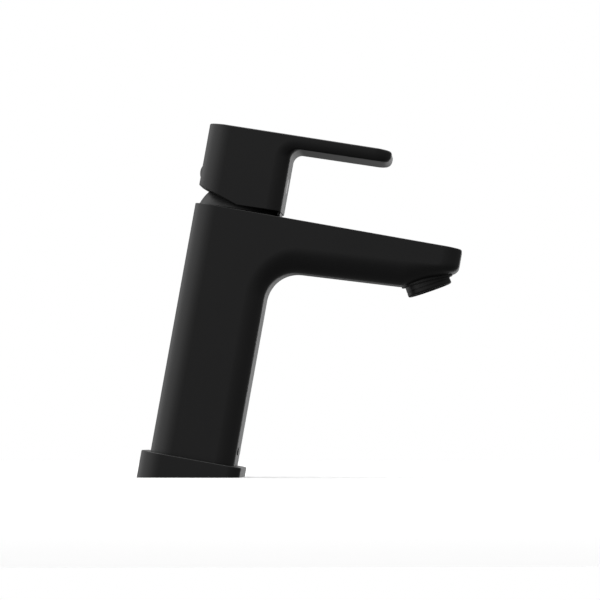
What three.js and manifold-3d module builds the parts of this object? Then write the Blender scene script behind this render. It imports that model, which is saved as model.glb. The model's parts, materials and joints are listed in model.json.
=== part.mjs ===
// Single-lever basin mixer: a square column that leans forward, a flat spout, a flat lever above it
// and a wedge-shaped base. Millimetres, +Z up, +X towards the outlet, origin on the deck under the
// middle of the base. Most sizes are in the column's own frame, which leans by LEAN: x runs along
// the spout, z runs up the column's axis.

import * as THREE from 'three';
import { mergeVertices } from 'three/addons/utils/BufferGeometryUtils.js';
import Module from 'manifold-3d';

const wasm = await Module();
wasm.setup();

// ---------------------------------------------------------------- driving dimensions

const GAP = 0.3;                    // between pieces that touch on the real object
const LEAN = 10.2;                  // degrees, of the column's axis from upright

const COLUMN_WIDTH = 45;            // square column, flat to flat
const COLUMN_BACK_ROUND = 12.3;     // its vertical edges at the back
const COLUMN_FRONT_ROUND = 10;      // its vertical edges at the front, and the spout's lower edges
const BODY_TOP = 143;               // top plane of the body, above the deck along the axis

const SPOUT_REACH = 120.4;          // from the axis to the tip face
const SPOUT_ROOT_DEPTH = 29.1;      // spout's depth where it would meet the axis
const UNDERSIDE_RISE = 3.15;        // degrees, underside against the top plane
const FACET_LENGTH = 30.6;          // slanted face that holds the aerator, to the tip's sharp corner
const FACET_RISE = 24.4;            // degrees, against the top plane
const TIP_LOWER_ROUND = 5;
const TIP_UPPER_ROUND = 1.2;
const TIP_PLAN_ROUND = 10;
const SPOUT_FILLET = 17;            // inner corner between column and spout
const SPOUT_WALL = 4.3;

const WEDGE_MARGIN = 4.35;          // base plate's overhang on each side of the column
const WEDGE_TOP = 10;               // its upper plane, along the axis
const WEDGE_BACK_ROUND = 12;
const WEDGE_FRONT_ROUND = 7;
const WEDGE_CHAMFER = 0.6;

const FOOT_RADIUS = 18.5;           // brass foot block in the column's lower end
const FOOT_DEPTH = 14.2;            // how far it reaches into the column
const SOCKET_RADIUS = 5;            // M10 hose sockets
const SOCKET_DEPTH = 14;
const SOCKET_OFFSET = 9.5;
const STUD_RADIUS = 3.4;            // tapped hole for the M8 fixing stud
const STUD_DEPTH = 16;
const STUD_OFFSET = 11;
const CHAMBER_RADIUS = 18;          // hot and cold water chambers in the column
const CHAMBER_CEILING = 12.3;       // metal between the chambers and the cartridge bore
const CHAMBER_WEB = 3;

const BORE_RADIUS = 18;             // cartridge bore
const BORE_DEPTH = 31.5;            // from the body's top plane to the bore's floor
const GALLERY_STEP = 1.8;           // ring space that leads mixed water to the spout, past the bore
const GALLERY_HEIGHT = 7;
const THREAD_STEP = 1.2;            // nut thread at the mouth of the bore, past the bore
const THREAD_DEPTH = 12.8;
const CARTRIDGE_FIT = 0.5;          // between the cartridge and the bore

const PIVOT_DEPTH = 6.4;            // lever's pivot pin and the dome's centre, below the top plane
const DOME_RADIUS = 22.4;
const DOME_WALL = 1.55;
const DOME_MOUTH = 13.2;
const SKIRT_DEPTH = 4.6;            // dome's skirt, inside the mouth of the bore
const SPINDLE_WIDTH = 8;
const SPINDLE_RISE = 37.9;          // from the pin to its upper end
const SPINDLE_ARM = 9.6;            // from the pin down to the middle of its tip
const SPINDLE_TIP = 1.2;            // radius of its lower tip, in the carrier's slot
const SPINDLE_NECK = 1.3;           // thickness of the arm above the tip, which leans in the slot
const PIN_RADIUS = 1.25;
const PIN_FIT = 0.35;               // round the pin, and on each side of the spindle in its guide
const CARRIER_SHIFT = 1.8;          // moving disc's rest place, behind the axis

const HUB_FORWARD = 0.6;            // hub's front, past the column's
const HUB_SET_IN = 0.2;             // hub's back, within the column's
const HUB_FRONT_RISE = 2.9;         // hub's lower edge at the front, above the body's top plane
const HUB_KINK_RISE = 2.2;          // where its underside starts to rise backwards
const HUB_BACK_RISE = 9.8;          // hub's lower edge at the back
const HANDLE_BACK_RISE = 42.6;      // its upper face at the back
const HANDLE_TIP_RISE = 44.4;       // and at the lever's tip
const LEVER_REACH = 75.2;           // from the axis to the lever's tip
const LEVER_ROOT_THICKNESS = 6.9;
const LEVER_TIP_THICKNESS = 6.5;
const LEVER_FILLET = 5.5;
const LEVER_EDGE_ROUND = 3.2;
const LEVER_PLAN_ROUND = 9;
const LEVER_TIP_LOWER_ROUND = 2.6;
const LEVER_TIP_UPPER_ROUND = 1.9;
const HANDLE_BACK_EASE = 0.8;       // upper edge at the back
const HUB_WALL = 3.8;
const HUB_CEILING = 5;
const SCREW_RISE = 17.7;            // grub screw, plug and marks, above the body's top plane
const SCREW_RADIUS = 2.3;
const PLUG_RADIUS = 4;
const PLUG_PROUD = 1.7;
const MARK_RADIUS = 4.1;
const MARK_THICKNESS = 0.8;

const BADGE_WIDTH = 14;
const BADGE_HEIGHT = 3.7;
const BADGE_THICKNESS = 1.2;
const BADGE_PROUD = 0.5;
const BADGE_CENTRE = 17.9;

const AERATOR_INSET = 17.2;         // along the slanted face, from the tip's sharp corner
const AERATOR_RADIUS = 12;
const AERATOR_LENGTH = 4.6;         // skirt below the pivot
const AERATOR_TILT = 29.8;          // degrees, outlet axis against the column's axis
const BALL_DEPTH = 7;               // rounded part above the pivot
const COLLAR_WIDTH = 1.85;          // fixed ring round the aerator
const COLLAR_PROUD = 1.03;
const COLLAR_FIT = 0.05;            // between the pressed-in ring and the spout

const FINE = 28;                    // sides of the larger round pieces
const COARSE = 16;                  // sides of the small ones
const ARC = 5;                      // steps in a rounded corner or a rim

// ---------------------------------------------------------------- derived sizes

const HALF = COLUMN_WIDTH / 2;
const HUB_FRONT = HALF + HUB_FORWARD;
const HUB_BACK = HALF - HUB_SET_IN;
const WEDGE_WIDTH = COLUMN_WIDTH + 2 * WEDGE_MARGIN;
const LEAN_ANGLE = THREE.MathUtils.degToRad(LEAN);
const FACET_ANGLE = THREE.MathUtils.degToRad(FACET_RISE);
const UNDERSIDE_SLOPE = Math.tan(THREE.MathUtils.degToRad(UNDERSIDE_RISE));
const BODY_BOTTOM = WEDGE_TOP + GAP;
const FOOT_TOP = BODY_BOTTOM + FOOT_DEPTH;
const FACET_START = SPOUT_REACH - FACET_LENGTH * Math.cos(FACET_ANGLE);
const SEAT_HEIGHT = BODY_TOP - BORE_DEPTH;
const CHAMBER_TOP = SEAT_HEIGHT - CHAMBER_CEILING;
const GALLERY_RADIUS = BORE_RADIUS + GALLERY_STEP;
const THREAD_RADIUS = BORE_RADIUS + THREAD_STEP;
const CARTRIDGE_RADIUS = BORE_RADIUS - CARTRIDGE_FIT;
const NECK_RADIUS = CARTRIDGE_RADIUS - 4.8;
const TURRET_RADIUS = NECK_RADIUS - 2.2;
const GUIDE_SLOT = 2 * (TURRET_RADIUS - 3);
const PORT_RADIUS = BORE_RADIUS * 17 / 90;
const INLET_BACK = BORE_RADIUS * 11 / 36;     // inlet ports, behind the axis
const INLET_SIDE = BORE_RADIUS * 15 / 36;     // and to each side of it
const OUTLET_FRONT = BORE_RADIUS * 13 / 36;
const PIVOT_HEIGHT = BODY_TOP - PIVOT_DEPTH;
const SPINDLE_TOP = PIVOT_HEIGHT + SPINDLE_RISE;
const BOSS_RADIUS = SPINDLE_WIDTH + 1.2;      // in the hub, round the spindle's upper end
const SCREW_HEIGHT = BODY_TOP + SCREW_RISE;
const HUB_KINK_HEIGHT = BODY_TOP + HUB_KINK_RISE;
const HANDLE_BACK_TOP = BODY_TOP + HANDLE_BACK_RISE;
const HANDLE_TIP_TOP = BODY_TOP + HANDLE_TIP_RISE;
const NUT_TOP = PIVOT_HEIGHT - 0.1;
const HOUSING_TOP = PIVOT_HEIGHT + 4.1;
const HOUSING_SHOULDER = BODY_TOP - THREAD_DEPTH;
const RING_TOP = HOUSING_SHOULDER - 4;
const DISC_RADIUS = CARTRIDGE_RADIUS - 3;
const CARRIER_RADIUS = DISC_RADIUS - CARRIER_SHIFT - 0.2;
const DISC_THICKNESS = 3;
const DISC_POCKET = { radius: CARRIER_RADIUS - 5.1, depth: 1.6 };
const BASE_BOTTOM = SEAT_HEIGHT + GAP;
const BASE_TOP = BASE_BOTTOM + 6.4;
const FIXED_DISC_BOTTOM = BASE_TOP + GAP;
const MOVING_DISC_BOTTOM = FIXED_DISC_BOTTOM + DISC_THICKNESS + GAP;
const CARRIER_BOTTOM = MOVING_DISC_BOTTOM + DISC_THICKNESS + GAP;
const CARRIER_TOP = PIVOT_HEIGHT - SPINDLE_ARM + 1.3;
const MARK_DEPTH = MARK_THICKNESS + GAP;
const COLLAR_RADIUS = AERATOR_RADIUS + COLLAR_WIDTH;
const INSERT_RADIUS = AERATOR_RADIUS - 1.9;
const THROAT_RADIUS = AERATOR_RADIUS - 3.7;
const PAST = 15;                    // how far a tool reaches past the piece that it shapes
const DECK = 200;                   // size of a block that trims everything on one side of a plane

const undersideAt = (x) => BODY_TOP - SPOUT_ROOT_DEPTH + x * UNDERSIDE_SLOPE;
const facetAt = (x) => undersideAt(FACET_START) + (x - FACET_START) * Math.tan(FACET_ANGLE);
const levelAt = (x, backTop, tipTop) => {
  const share = (x + HALF) / (LEVER_REACH + HALF);
  return backTop + share * (tipTop - backTop);
};

// ---------------------------------------------------------------- shaping tools

function toSolid(geometry) {
  const bare = geometry.clone();
  bare.deleteAttribute('normal');
  bare.deleteAttribute('uv');
  const merged = mergeVertices(bare, 1e-4);
  const place = merged.attributes.position;
  const corner = (index) => new THREE.Vector3().fromBufferAttribute(place, index);
  const triangles = [];
  let volume = 0;
  for (let first = 0; first < merged.index.count; first += 3) {
    const [a, b, c] = [0, 1, 2].map((step) => merged.index.getX(first + step));
    if (a !== b && b !== c && c !== a) {
      triangles.push([a, b, c]);
      volume += corner(a).dot(corner(b).cross(corner(c)));
    }
  }
  const outward = volume < 0 ? triangles.map(([a, b, c]) => [a, c, b]) : triangles;
  const vertProperties = new Float32Array(place.array);
  return new wasm.Manifold(new wasm.Mesh({
    numProp: 3, vertProperties, triVerts: new Uint32Array(outward.flat()),
  }));
}

function toGeometry(solid) {
  const mesh = solid.getMesh();
  const geometry = new THREE.BufferGeometry();
  geometry.setAttribute('position', new THREE.BufferAttribute(mesh.vertProperties, 3));
  geometry.setIndex(new THREE.BufferAttribute(mesh.triVerts, 1));
  geometry.computeVertexNormals();
  return geometry;
}

const join = (...parts) => toGeometry(parts.map(toSolid).reduce((all, next) => all.add(next)));
const cut = (...parts) => toGeometry(parts.map(toSolid).reduce((rest, tool) => rest.subtract(tool)));
const common = (...parts) => toGeometry(parts.map(toSolid).reduce((all, next) => all.intersect(next)));

// Outline through corners [x, y, radius]; a radius of 0 leaves the corner sharp.
function outline(corners) {
  const shape = new THREE.Shape();
  corners.forEach(([x, y, radius], index) => {
    const corner = new THREE.Vector2(x, y);
    const [backX, backY] = corners.at(index - 1);
    const [nextX, nextY] = corners[(index + 1) % corners.length];
    const toBack = new THREE.Vector2(backX, backY).sub(corner).normalize();
    const toNext = new THREE.Vector2(nextX, nextY).sub(corner).normalize();
    const half = Math.acos(toBack.dot(toNext)) / 2;
    const start = corner.clone().addScaledVector(toBack, radius / Math.tan(half));
    if (index === 0) {
      shape.moveTo(start.x, start.y);
    } else {
      shape.lineTo(start.x, start.y);
    }
    if (radius > 0) {
      const middle = toBack.clone().add(toNext).normalize();
      const centre = corner.clone().addScaledVector(middle, radius / Math.sin(half));
      const end = corner.clone().addScaledVector(toNext, radius / Math.tan(half));
      const from = Math.atan2(start.y - centre.y, start.x - centre.x);
      const to = Math.atan2(end.y - centre.y, end.x - centre.x);
      shape.absarc(centre.x, centre.y, radius, from, to, toBack.cross(toNext) > 0);
    }
  });
  shape.closePath();
  return shape;
}

// Rounded rectangle between two x values, centred on y = 0.
function rectangle(back, front, width, backRound, frontRound) {
  const side = width / 2;
  return outline([
    [back, -side, backRound], [front, -side, frontRound],
    [front, side, frontRound], [back, side, backRound],
  ]);
}

// Prism that stands on a plan outline between two heights.
function standing(shape, bottom, top) {
  const options = { depth: top - bottom, bevelEnabled: false, curveSegments: ARC };
  return new THREE.ExtrudeGeometry(shape, options).translate(0, 0, bottom);
}

// Side outline (x, z) drawn out to a width across y, its rims rounded by a radius.
function drawnAcross(shape, width, round = 0) {
  const depth = width - 2 * round;
  const options = {
    depth, curveSegments: ARC, bevelEnabled: round > 0, bevelSegments: ARC,
    bevelThickness: round, bevelSize: round, bevelOffset: -round,
  };
  return new THREE.ExtrudeGeometry(shape, options).translate(0, 0, -depth / 2).rotateX(Math.PI / 2);
}

// Body of revolution about z from [radius, z] points; a ring's outline is closed by itself.
function turned(points, sides = COARSE) {
  const profile = points.map(([radius, z]) => new THREE.Vector2(radius, z));
  const onAxis = points[0][0] === 0 && points.at(-1)[0] === 0;
  if (!onAxis) {
    profile.push(profile[0].clone());
  }
  return new THREE.LatheGeometry(profile, sides).rotateX(Math.PI / 2);
}

const rod = (radius, bottom, top, sides = COARSE) => (
  turned([[0, bottom], [radius, bottom], [radius, top], [0, top]], sides)
);
const ring = (inner, outer, bottom, top, sides = COARSE) => (
  turned([[inner, bottom], [outer, bottom], [outer, top], [inner, top]], sides)
);
const block = (length, width, bottom, top) => (
  new THREE.BoxGeometry(length, width, top - bottom).translate(0, 0, (top + bottom) / 2)
);

// Rod along x between two x values, at a height.
const lyingRod = (radius, from, to, height) => (
  rod(radius, from, to).rotateY(Math.PI / 2).translate(0, 0, height)
);
// Rod along y, centred, at a height.
const crossRod = (radius, length, height) => (
  rod(radius, -length / 2, length / 2).rotateX(Math.PI / 2).translate(0, 0, height)
);

// Points of an arc about the axis point at height centre, between two heights.
function sphereArc(radius, centre, fromZ, toZ, steps) {
  const angleAt = (z) => Math.asin((z - centre) / radius);
  return Array.from({ length: steps + 1 }, (_, step) => {
    const angle = THREE.MathUtils.lerp(angleAt(fromZ), angleAt(toZ), step / steps);
    return [radius * Math.cos(angle), centre + radius * Math.sin(angle)];
  });
}

// Turns a shape made upright on the deck into the leaning frame.
const fromDeck = (geometry) => geometry.rotateY(-LEAN_ANGLE);
const aboveDeck = (geometry) => cut(geometry, fromDeck(block(DECK, DECK, -DECK, 0)));

// Places a shape made about the aerator's pivot into the column's frame.
const PIVOT_X = SPOUT_REACH - AERATOR_INSET * Math.cos(FACET_ANGLE) + COLLAR_PROUD * Math.sin(FACET_ANGLE);
const PIVOT_Z = facetAt(SPOUT_REACH) - AERATOR_INSET * Math.sin(FACET_ANGLE)
  - COLLAR_PROUD * Math.cos(FACET_ANGLE);
const atFacet = (geometry) => geometry.rotateY(-FACET_ANGLE).translate(PIVOT_X, 0, PIVOT_Z);

// ---------------------------------------------------------------- body

function bodyOutside() {
  const inner = [HALF, undersideAt(HALF), SPOUT_FILLET];
  const farEnd = SPOUT_REACH + PAST;
  const roundedRims = outline([
    [-HALF - PAST, BODY_BOTTOM - PAST, 0], [HALF, BODY_BOTTOM - PAST, 0], inner,
    [farEnd, undersideAt(farEnd), 0], [farEnd, BODY_TOP + PAST, 0], [-HALF - PAST, BODY_TOP + PAST, 0],
  ]);
  const side = outline([
    [-HALF, BODY_BOTTOM, 0], [HALF, BODY_BOTTOM, 0], inner,
    [FACET_START, undersideAt(FACET_START), 0],
    [SPOUT_REACH, facetAt(SPOUT_REACH), TIP_LOWER_ROUND], [SPOUT_REACH, BODY_TOP, TIP_UPPER_ROUND],
    [-HALF, BODY_TOP, 0],
  ]);
  const plan = rectangle(-HALF, SPOUT_REACH, COLUMN_WIDTH, COLUMN_BACK_ROUND, TIP_PLAN_ROUND);
  return common(
    drawnAcross(roundedRims, COLUMN_WIDTH, COLUMN_FRONT_ROUND),
    drawnAcross(side, COLUMN_WIDTH + 2),
    standing(plan, BODY_BOTTOM - 1, BODY_TOP + 1),
  );
}

function supplyPassage(side) {
  return rod(PORT_RADIUS, CHAMBER_TOP - 2, SEAT_HEIGHT + 1)
    .translate(-INLET_BACK, side * INLET_SIDE, 0);
}

function spoutChannel() {
  const floorAt = (x) => undersideAt(x) + SPOUT_WALL;
  const nearEnd = BORE_RADIUS - 3;
  const farEnd = PIVOT_X + 3;
  const roof = BODY_TOP - SPOUT_WALL;
  const sideWall = SPOUT_WALL + 1;
  const shape = outline([
    [nearEnd, floorAt(BORE_RADIUS), 0], [FACET_START, floorAt(FACET_START), 0],
    [farEnd, facetAt(farEnd) + SPOUT_WALL, 0], [farEnd, roof, 0], [nearEnd, roof, 0],
  ]);
  return drawnAcross(shape, COLUMN_WIDTH - 2 * sideWall);
}

function badgeRecess() {
  const depth = BADGE_THICKNESS - BADGE_PROUD + GAP;
  const [low, high] = [BADGE_CENTRE - BADGE_HEIGHT / 2 - GAP, BADGE_CENTRE + BADGE_HEIGHT / 2 + GAP];
  return block(2 * depth, BADGE_WIDTH + 2 * GAP, low, high).translate(HALF, 0, 0);
}

function bodyCasting() {
  const chambers = cut(
    rod(CHAMBER_RADIUS, FOOT_TOP - 1, CHAMBER_TOP, FINE),
    block(2 * CHAMBER_RADIUS + 2, CHAMBER_WEB, FOOT_TOP - 2, CHAMBER_TOP + 1),
  );
  const collarPocket = COLLAR_PROUD + BALL_DEPTH + 3.5;
  const galleryBottom = SEAT_HEIGHT + 2;
  return cut(
    bodyOutside(),
    rod(FOOT_RADIUS + GAP, BODY_BOTTOM - 1, FOOT_TOP + GAP, FINE),
    chambers,
    supplyPassage(-1),
    supplyPassage(1),
    rod(BORE_RADIUS, SEAT_HEIGHT, BODY_TOP + 1, FINE),
    rod(GALLERY_RADIUS, galleryBottom, galleryBottom + GALLERY_HEIGHT, FINE),
    rod(THREAD_RADIUS, HOUSING_SHOULDER, BODY_TOP + 1, FINE),
    spoutChannel(),
    atFacet(rod(COLLAR_RADIUS + COLLAR_FIT, -2, collarPocket, FINE)),
    badgeRecess(),
  );
}

function frontBadge() {
  const [low, high] = [BADGE_CENTRE - BADGE_HEIGHT / 2, BADGE_CENTRE + BADGE_HEIGHT / 2];
  return block(BADGE_THICKNESS, BADGE_WIDTH, low, high)
    .translate(HALF + BADGE_PROUD - BADGE_THICKNESS / 2, 0, 0);
}

// ---------------------------------------------------------------- base and foot

const GASKET = {
  width: WEDGE_WIDTH - 6.1, hole: WEDGE_WIDTH - 11.1, thickness: 1.5, round: 9, frontRound: 5,
};
const WEDGE_SEAL = { inner: FOOT_RADIUS + 1.1, outer: FOOT_RADIUS + 2.7, height: 1.3 };

function gasketRing(spread, thickness) {
  const side = GASKET.width / 2 + spread;
  const hole = GASKET.hole / 2 - spread;
  const outer = rectangle(-side, side, 2 * side, GASKET.round, GASKET.frontRound);
  const inner = rectangle(-hole, hole, 2 * hole, GASKET.round, GASKET.round);
  return cut(standing(outer, 0, thickness), standing(inner, -1, thickness + 1));
}

function baseWedge() {
  const half = WEDGE_WIDTH / 2;
  const plan = rectangle(-half, half, WEDGE_WIDTH, WEDGE_BACK_ROUND, WEDGE_FRONT_ROUND);
  const options = {
    depth: 2 * WEDGE_TOP, curveSegments: ARC, bevelSegments: 1,
    bevelThickness: WEDGE_CHAMFER, bevelSize: WEDGE_CHAMFER, bevelOffset: -WEDGE_CHAMFER,
  };
  const plate = new THREE.ExtrudeGeometry(plan, options)
    .translate(0, 0, -WEDGE_TOP - WEDGE_CHAMFER);
  const groove = fromDeck(join(
    gasketRing(GAP, GASKET.thickness + GAP),
    gasketRing(GAP, GASKET.thickness + GAP).translate(0, 0, -1),
  ));
  const { inner, outer, height } = WEDGE_SEAL;
  return cut(
    aboveDeck(plate),
    rod(FOOT_RADIUS + 0.5, -2 * WEDGE_TOP, WEDGE_TOP + 1, FINE),
    groove,
    ring(inner - GAP, outer + GAP, WEDGE_TOP - height - GAP, WEDGE_TOP + 1, FINE),
  );
}

function wedgeSeal() {
  return ring(WEDGE_SEAL.inner, WEDGE_SEAL.outer, WEDGE_TOP - WEDGE_SEAL.height, WEDGE_TOP, FINE);
}

const FOOT_RING = { depth: 1.6, height: 1.8, top: FOOT_TOP - 3.9 };

function footBlock() {
  const { depth, height, top } = FOOT_RING;
  const socketTop = SOCKET_DEPTH * Math.cos(LEAN_ANGLE);
  const hoseWay = (side) => join(
    fromDeck(rod(SOCKET_RADIUS, -2, SOCKET_DEPTH).translate(0, side * SOCKET_OFFSET, 0)),
    rod(PORT_RADIUS, socketTop - 3, FOOT_TOP + 1)
      .translate(-SOCKET_DEPTH * Math.sin(LEAN_ANGLE), side * SOCKET_OFFSET, 0),
  );
  return cut(
    aboveDeck(rod(FOOT_RADIUS, -2 * WEDGE_TOP, FOOT_TOP, FINE)),
    hoseWay(-1),
    hoseWay(1),
    fromDeck(rod(STUD_RADIUS, -2, STUD_DEPTH).translate(-STUD_OFFSET, 0, 0)),
    ring(FOOT_RADIUS - depth, FOOT_RADIUS + 1, top - height - GAP, top + GAP, FINE),
  );
}

function footRing() {
  const { depth, height, top } = FOOT_RING;
  return ring(FOOT_RADIUS - depth + GAP, FOOT_RADIUS, top - height, top, FINE);
}

// ---------------------------------------------------------------- cartridge

const SEAL_POCKET = 1.8;
const SEAL_WIDTH = 1.2;
const RING_HEIGHT = 1.8;
const RING_GROOVE = 1.6;

const portAt = (x, y, radius, bottom, top) => rod(radius, bottom, top).translate(x, y, 0);
const threePorts = (bottom, top) => [
  portAt(-INLET_BACK, -INLET_SIDE, PORT_RADIUS, bottom, top),
  portAt(-INLET_BACK, INLET_SIDE, PORT_RADIUS, bottom, top),
  portAt(OUTLET_FRONT, 0, PORT_RADIUS, bottom, top),
];

function cartridgeBase() {
  const [hot, cold, outlet] = threePorts(BASE_BOTTOM - 1, BASE_TOP + 1);
  const pocketTop = BASE_BOTTOM + SEAL_POCKET;
  const pocketRadius = PORT_RADIUS + SEAL_WIDTH + 0.4;
  const sideWay = block(CARTRIDGE_RADIUS, 2 * PORT_RADIUS, pocketTop, BASE_TOP - 1.5)
    .translate(OUTLET_FRONT + CARTRIDGE_RADIUS / 2, 0, 0);
  return cut(
    rod(CARTRIDGE_RADIUS, BASE_BOTTOM, BASE_TOP, FINE),
    hot,
    cold,
    common(outlet, block(DECK, DECK, pocketTop, DECK)),
    sideWay,
    portAt(-INLET_BACK, -INLET_SIDE, pocketRadius, BASE_BOTTOM - 1, pocketTop),
    portAt(-INLET_BACK, INLET_SIDE, pocketRadius, BASE_BOTTOM - 1, pocketTop),
  );
}

function inletSeal(side) {
  const inner = PORT_RADIUS + 0.1;
  return ring(inner, inner + SEAL_WIDTH, BASE_BOTTOM, BASE_BOTTOM + SEAL_POCKET - GAP)
    .translate(-INLET_BACK, side * INLET_SIDE, 0);
}

function fixedDisc() {
  const top = FIXED_DISC_BOTTOM + DISC_THICKNESS;
  return cut(
    rod(DISC_RADIUS, FIXED_DISC_BOTTOM, top, FINE),
    ...threePorts(FIXED_DISC_BOTTOM - 1, top + 1),
  );
}

function movingDisc() {
  const [bottom, top] = [MOVING_DISC_BOTTOM, MOVING_DISC_BOTTOM + DISC_THICKNESS];
  const { radius, depth } = DISC_POCKET;
  return cut(rod(CARRIER_RADIUS, bottom, top, FINE), rod(radius, bottom - 1, bottom + depth))
    .translate(-CARRIER_SHIFT, 0, 0);
}

function discCarrier() {
  const slotFloor = PIVOT_HEIGHT - SPINDLE_ARM - SPINDLE_TIP - GAP;
  const play = 0.8;
  return cut(
    rod(CARRIER_RADIUS, CARRIER_BOTTOM, CARRIER_TOP, FINE).translate(-CARRIER_SHIFT, 0, 0),
    block(2 * SPINDLE_TIP + play, SPINDLE_WIDTH + play, slotFloor, CARRIER_TOP + 1),
  );
}

function cartridgeHousing() {
  const inner = DISC_RADIUS + GAP;
  const groove = CARTRIDGE_RADIUS - RING_GROOVE;
  const grooveLow = RING_TOP - RING_HEIGHT - GAP;
  return turned([
    [inner, FIXED_DISC_BOTTOM], [CARTRIDGE_RADIUS, FIXED_DISC_BOTTOM],
    [CARTRIDGE_RADIUS, grooveLow], [groove, grooveLow],
    [groove, RING_TOP + GAP], [CARTRIDGE_RADIUS, RING_TOP + GAP],
    [CARTRIDGE_RADIUS, HOUSING_SHOULDER], [NECK_RADIUS, HOUSING_SHOULDER],
    [NECK_RADIUS, HOUSING_TOP], [TURRET_RADIUS + GAP, HOUSING_TOP],
    [TURRET_RADIUS + GAP, CARRIER_TOP + GAP], [inner, CARRIER_TOP + GAP],
  ], FINE);
}

function cartridgeRing() {
  const inner = CARTRIDGE_RADIUS - RING_GROOVE + GAP;
  return ring(inner, CARTRIDGE_RADIUS + 0.2, RING_TOP - RING_HEIGHT, RING_TOP, FINE);
}

function cartridgeNut() {
  const outer = THREAD_RADIUS - GAP;
  const notch = { width: 3, depth: 2 };
  const notches = [0, 1, 2].map((step) => (
    block(2 * outer + 2, notch.width, NUT_TOP - notch.depth, NUT_TOP + 1).rotateZ(step * Math.PI / 3)
  ));
  const keep = rod(NECK_RADIUS + 2, HOUSING_SHOULDER, NUT_TOP + 2, FINE);
  const tools = notches.map((tool) => cut(tool, keep));
  return cut(ring(NECK_RADIUS + GAP, outer, HOUSING_SHOULDER + GAP, NUT_TOP, FINE), ...tools);
}

function spindleGuide() {
  return cut(
    rod(TURRET_RADIUS, CARRIER_TOP + 2 * GAP, HOUSING_TOP - GAP, FINE),
    block(GUIDE_SLOT, SPINDLE_WIDTH + 2 * PIN_FIT, CARRIER_BOTTOM, HOUSING_TOP + 1),
    crossRod(PIN_RADIUS + PIN_FIT, 4 * TURRET_RADIUS, PIVOT_HEIGHT),
  );
}

function pivotPin() {
  const setBack = 0.6;
  return crossRod(PIN_RADIUS, 2 * (TURRET_RADIUS - setBack), PIVOT_HEIGHT);
}

function spindle() {
  const tipHeight = PIVOT_HEIGHT - SPINDLE_ARM;
  const shank = join(
    block(SPINDLE_WIDTH, SPINDLE_WIDTH, PIVOT_HEIGHT, SPINDLE_TOP),
    crossRod(SPINDLE_WIDTH / 2, SPINDLE_WIDTH, PIVOT_HEIGHT),
    block(SPINDLE_NECK, SPINDLE_WIDTH, tipHeight, PIVOT_HEIGHT),
    crossRod(SPINDLE_TIP, SPINDLE_WIDTH, tipHeight),
  );
  return cut(shank, crossRod(PIN_RADIUS + PIN_FIT, 4 * SPINDLE_WIDTH, PIVOT_HEIGHT));
}

function domeCap() {
  const bottom = BODY_TOP + GAP;
  const inner = DOME_RADIUS - DOME_WALL;
  const mouthAt = (radius) => PIVOT_HEIGHT + Math.sqrt(radius ** 2 - DOME_MOUTH ** 2);
  const skirt = THREAD_RADIUS - GAP;
  const step = 0.4;
  return turned([
    [skirt, bottom - SKIRT_DEPTH], [skirt, bottom],
    ...sphereArc(DOME_RADIUS, PIVOT_HEIGHT, bottom, mouthAt(DOME_RADIUS), ARC),
    ...sphereArc(inner, PIVOT_HEIGHT, mouthAt(inner), bottom, ARC),
    [skirt - DOME_WALL, bottom - step], [skirt - DOME_WALL, bottom - SKIRT_DEPTH],
  ], FINE);
}

// ---------------------------------------------------------------- handle

const topAt = (x) => levelAt(x, HANDLE_BACK_TOP, HANDLE_TIP_TOP);
const leverUnderAt = (x) => {
  const share = (x - HALF) / (LEVER_REACH - HALF);
  return topAt(x) - THREE.MathUtils.lerp(LEVER_ROOT_THICKNESS, LEVER_TIP_THICKNESS, share);
};

function handleOutside() {
  const inner = [HUB_FRONT, leverUnderAt(HUB_FRONT), LEVER_FILLET];
  const roundedRims = outline([
    [-HUB_BACK - PAST, HUB_KINK_HEIGHT - PAST, 0], [HUB_FRONT, HUB_KINK_HEIGHT - PAST, 0], inner,
    [LEVER_REACH, leverUnderAt(LEVER_REACH), 0],
    [LEVER_REACH, HANDLE_TIP_TOP + PAST, 0], [-HUB_BACK - PAST, HANDLE_TIP_TOP + PAST, 0],
  ]);
  const side = outline([
    [-HUB_BACK, BODY_TOP + HUB_BACK_RISE, 0], [0, HUB_KINK_HEIGHT, 0],
    [HUB_FRONT, BODY_TOP + HUB_FRONT_RISE, 0], inner,
    [LEVER_REACH, leverUnderAt(LEVER_REACH), LEVER_TIP_LOWER_ROUND],
    [LEVER_REACH, HANDLE_TIP_TOP, LEVER_TIP_UPPER_ROUND],
    [-HUB_BACK, HANDLE_BACK_TOP, HANDLE_BACK_EASE],
  ]);
  const plan = rectangle(-HUB_BACK, LEVER_REACH, COLUMN_WIDTH, COLUMN_BACK_ROUND, LEVER_PLAN_ROUND);
  return common(
    drawnAcross(roundedRims, COLUMN_WIDTH, LEVER_EDGE_ROUND),
    drawnAcross(side, COLUMN_WIDTH + 2),
    standing(plan, HUB_KINK_HEIGHT - 1, HANDLE_TIP_TOP + 1),
  );
}

function hubHollow() {
  const half = HALF - HUB_WALL;
  const corner = COLUMN_BACK_ROUND - HUB_WALL;
  const [bottom, top] = [HUB_KINK_HEIGHT - 2, HANDLE_BACK_TOP - HUB_CEILING];
  return cut(
    standing(rectangle(-half, half, 2 * half, corner, corner), bottom, top),
    rod(BOSS_RADIUS, bottom - 1, top + 1),
    block(HALF, 4 * SCREW_RADIUS, bottom - 1, top + 1).translate(-HALF / 2, 0, 0),
  );
}

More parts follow.
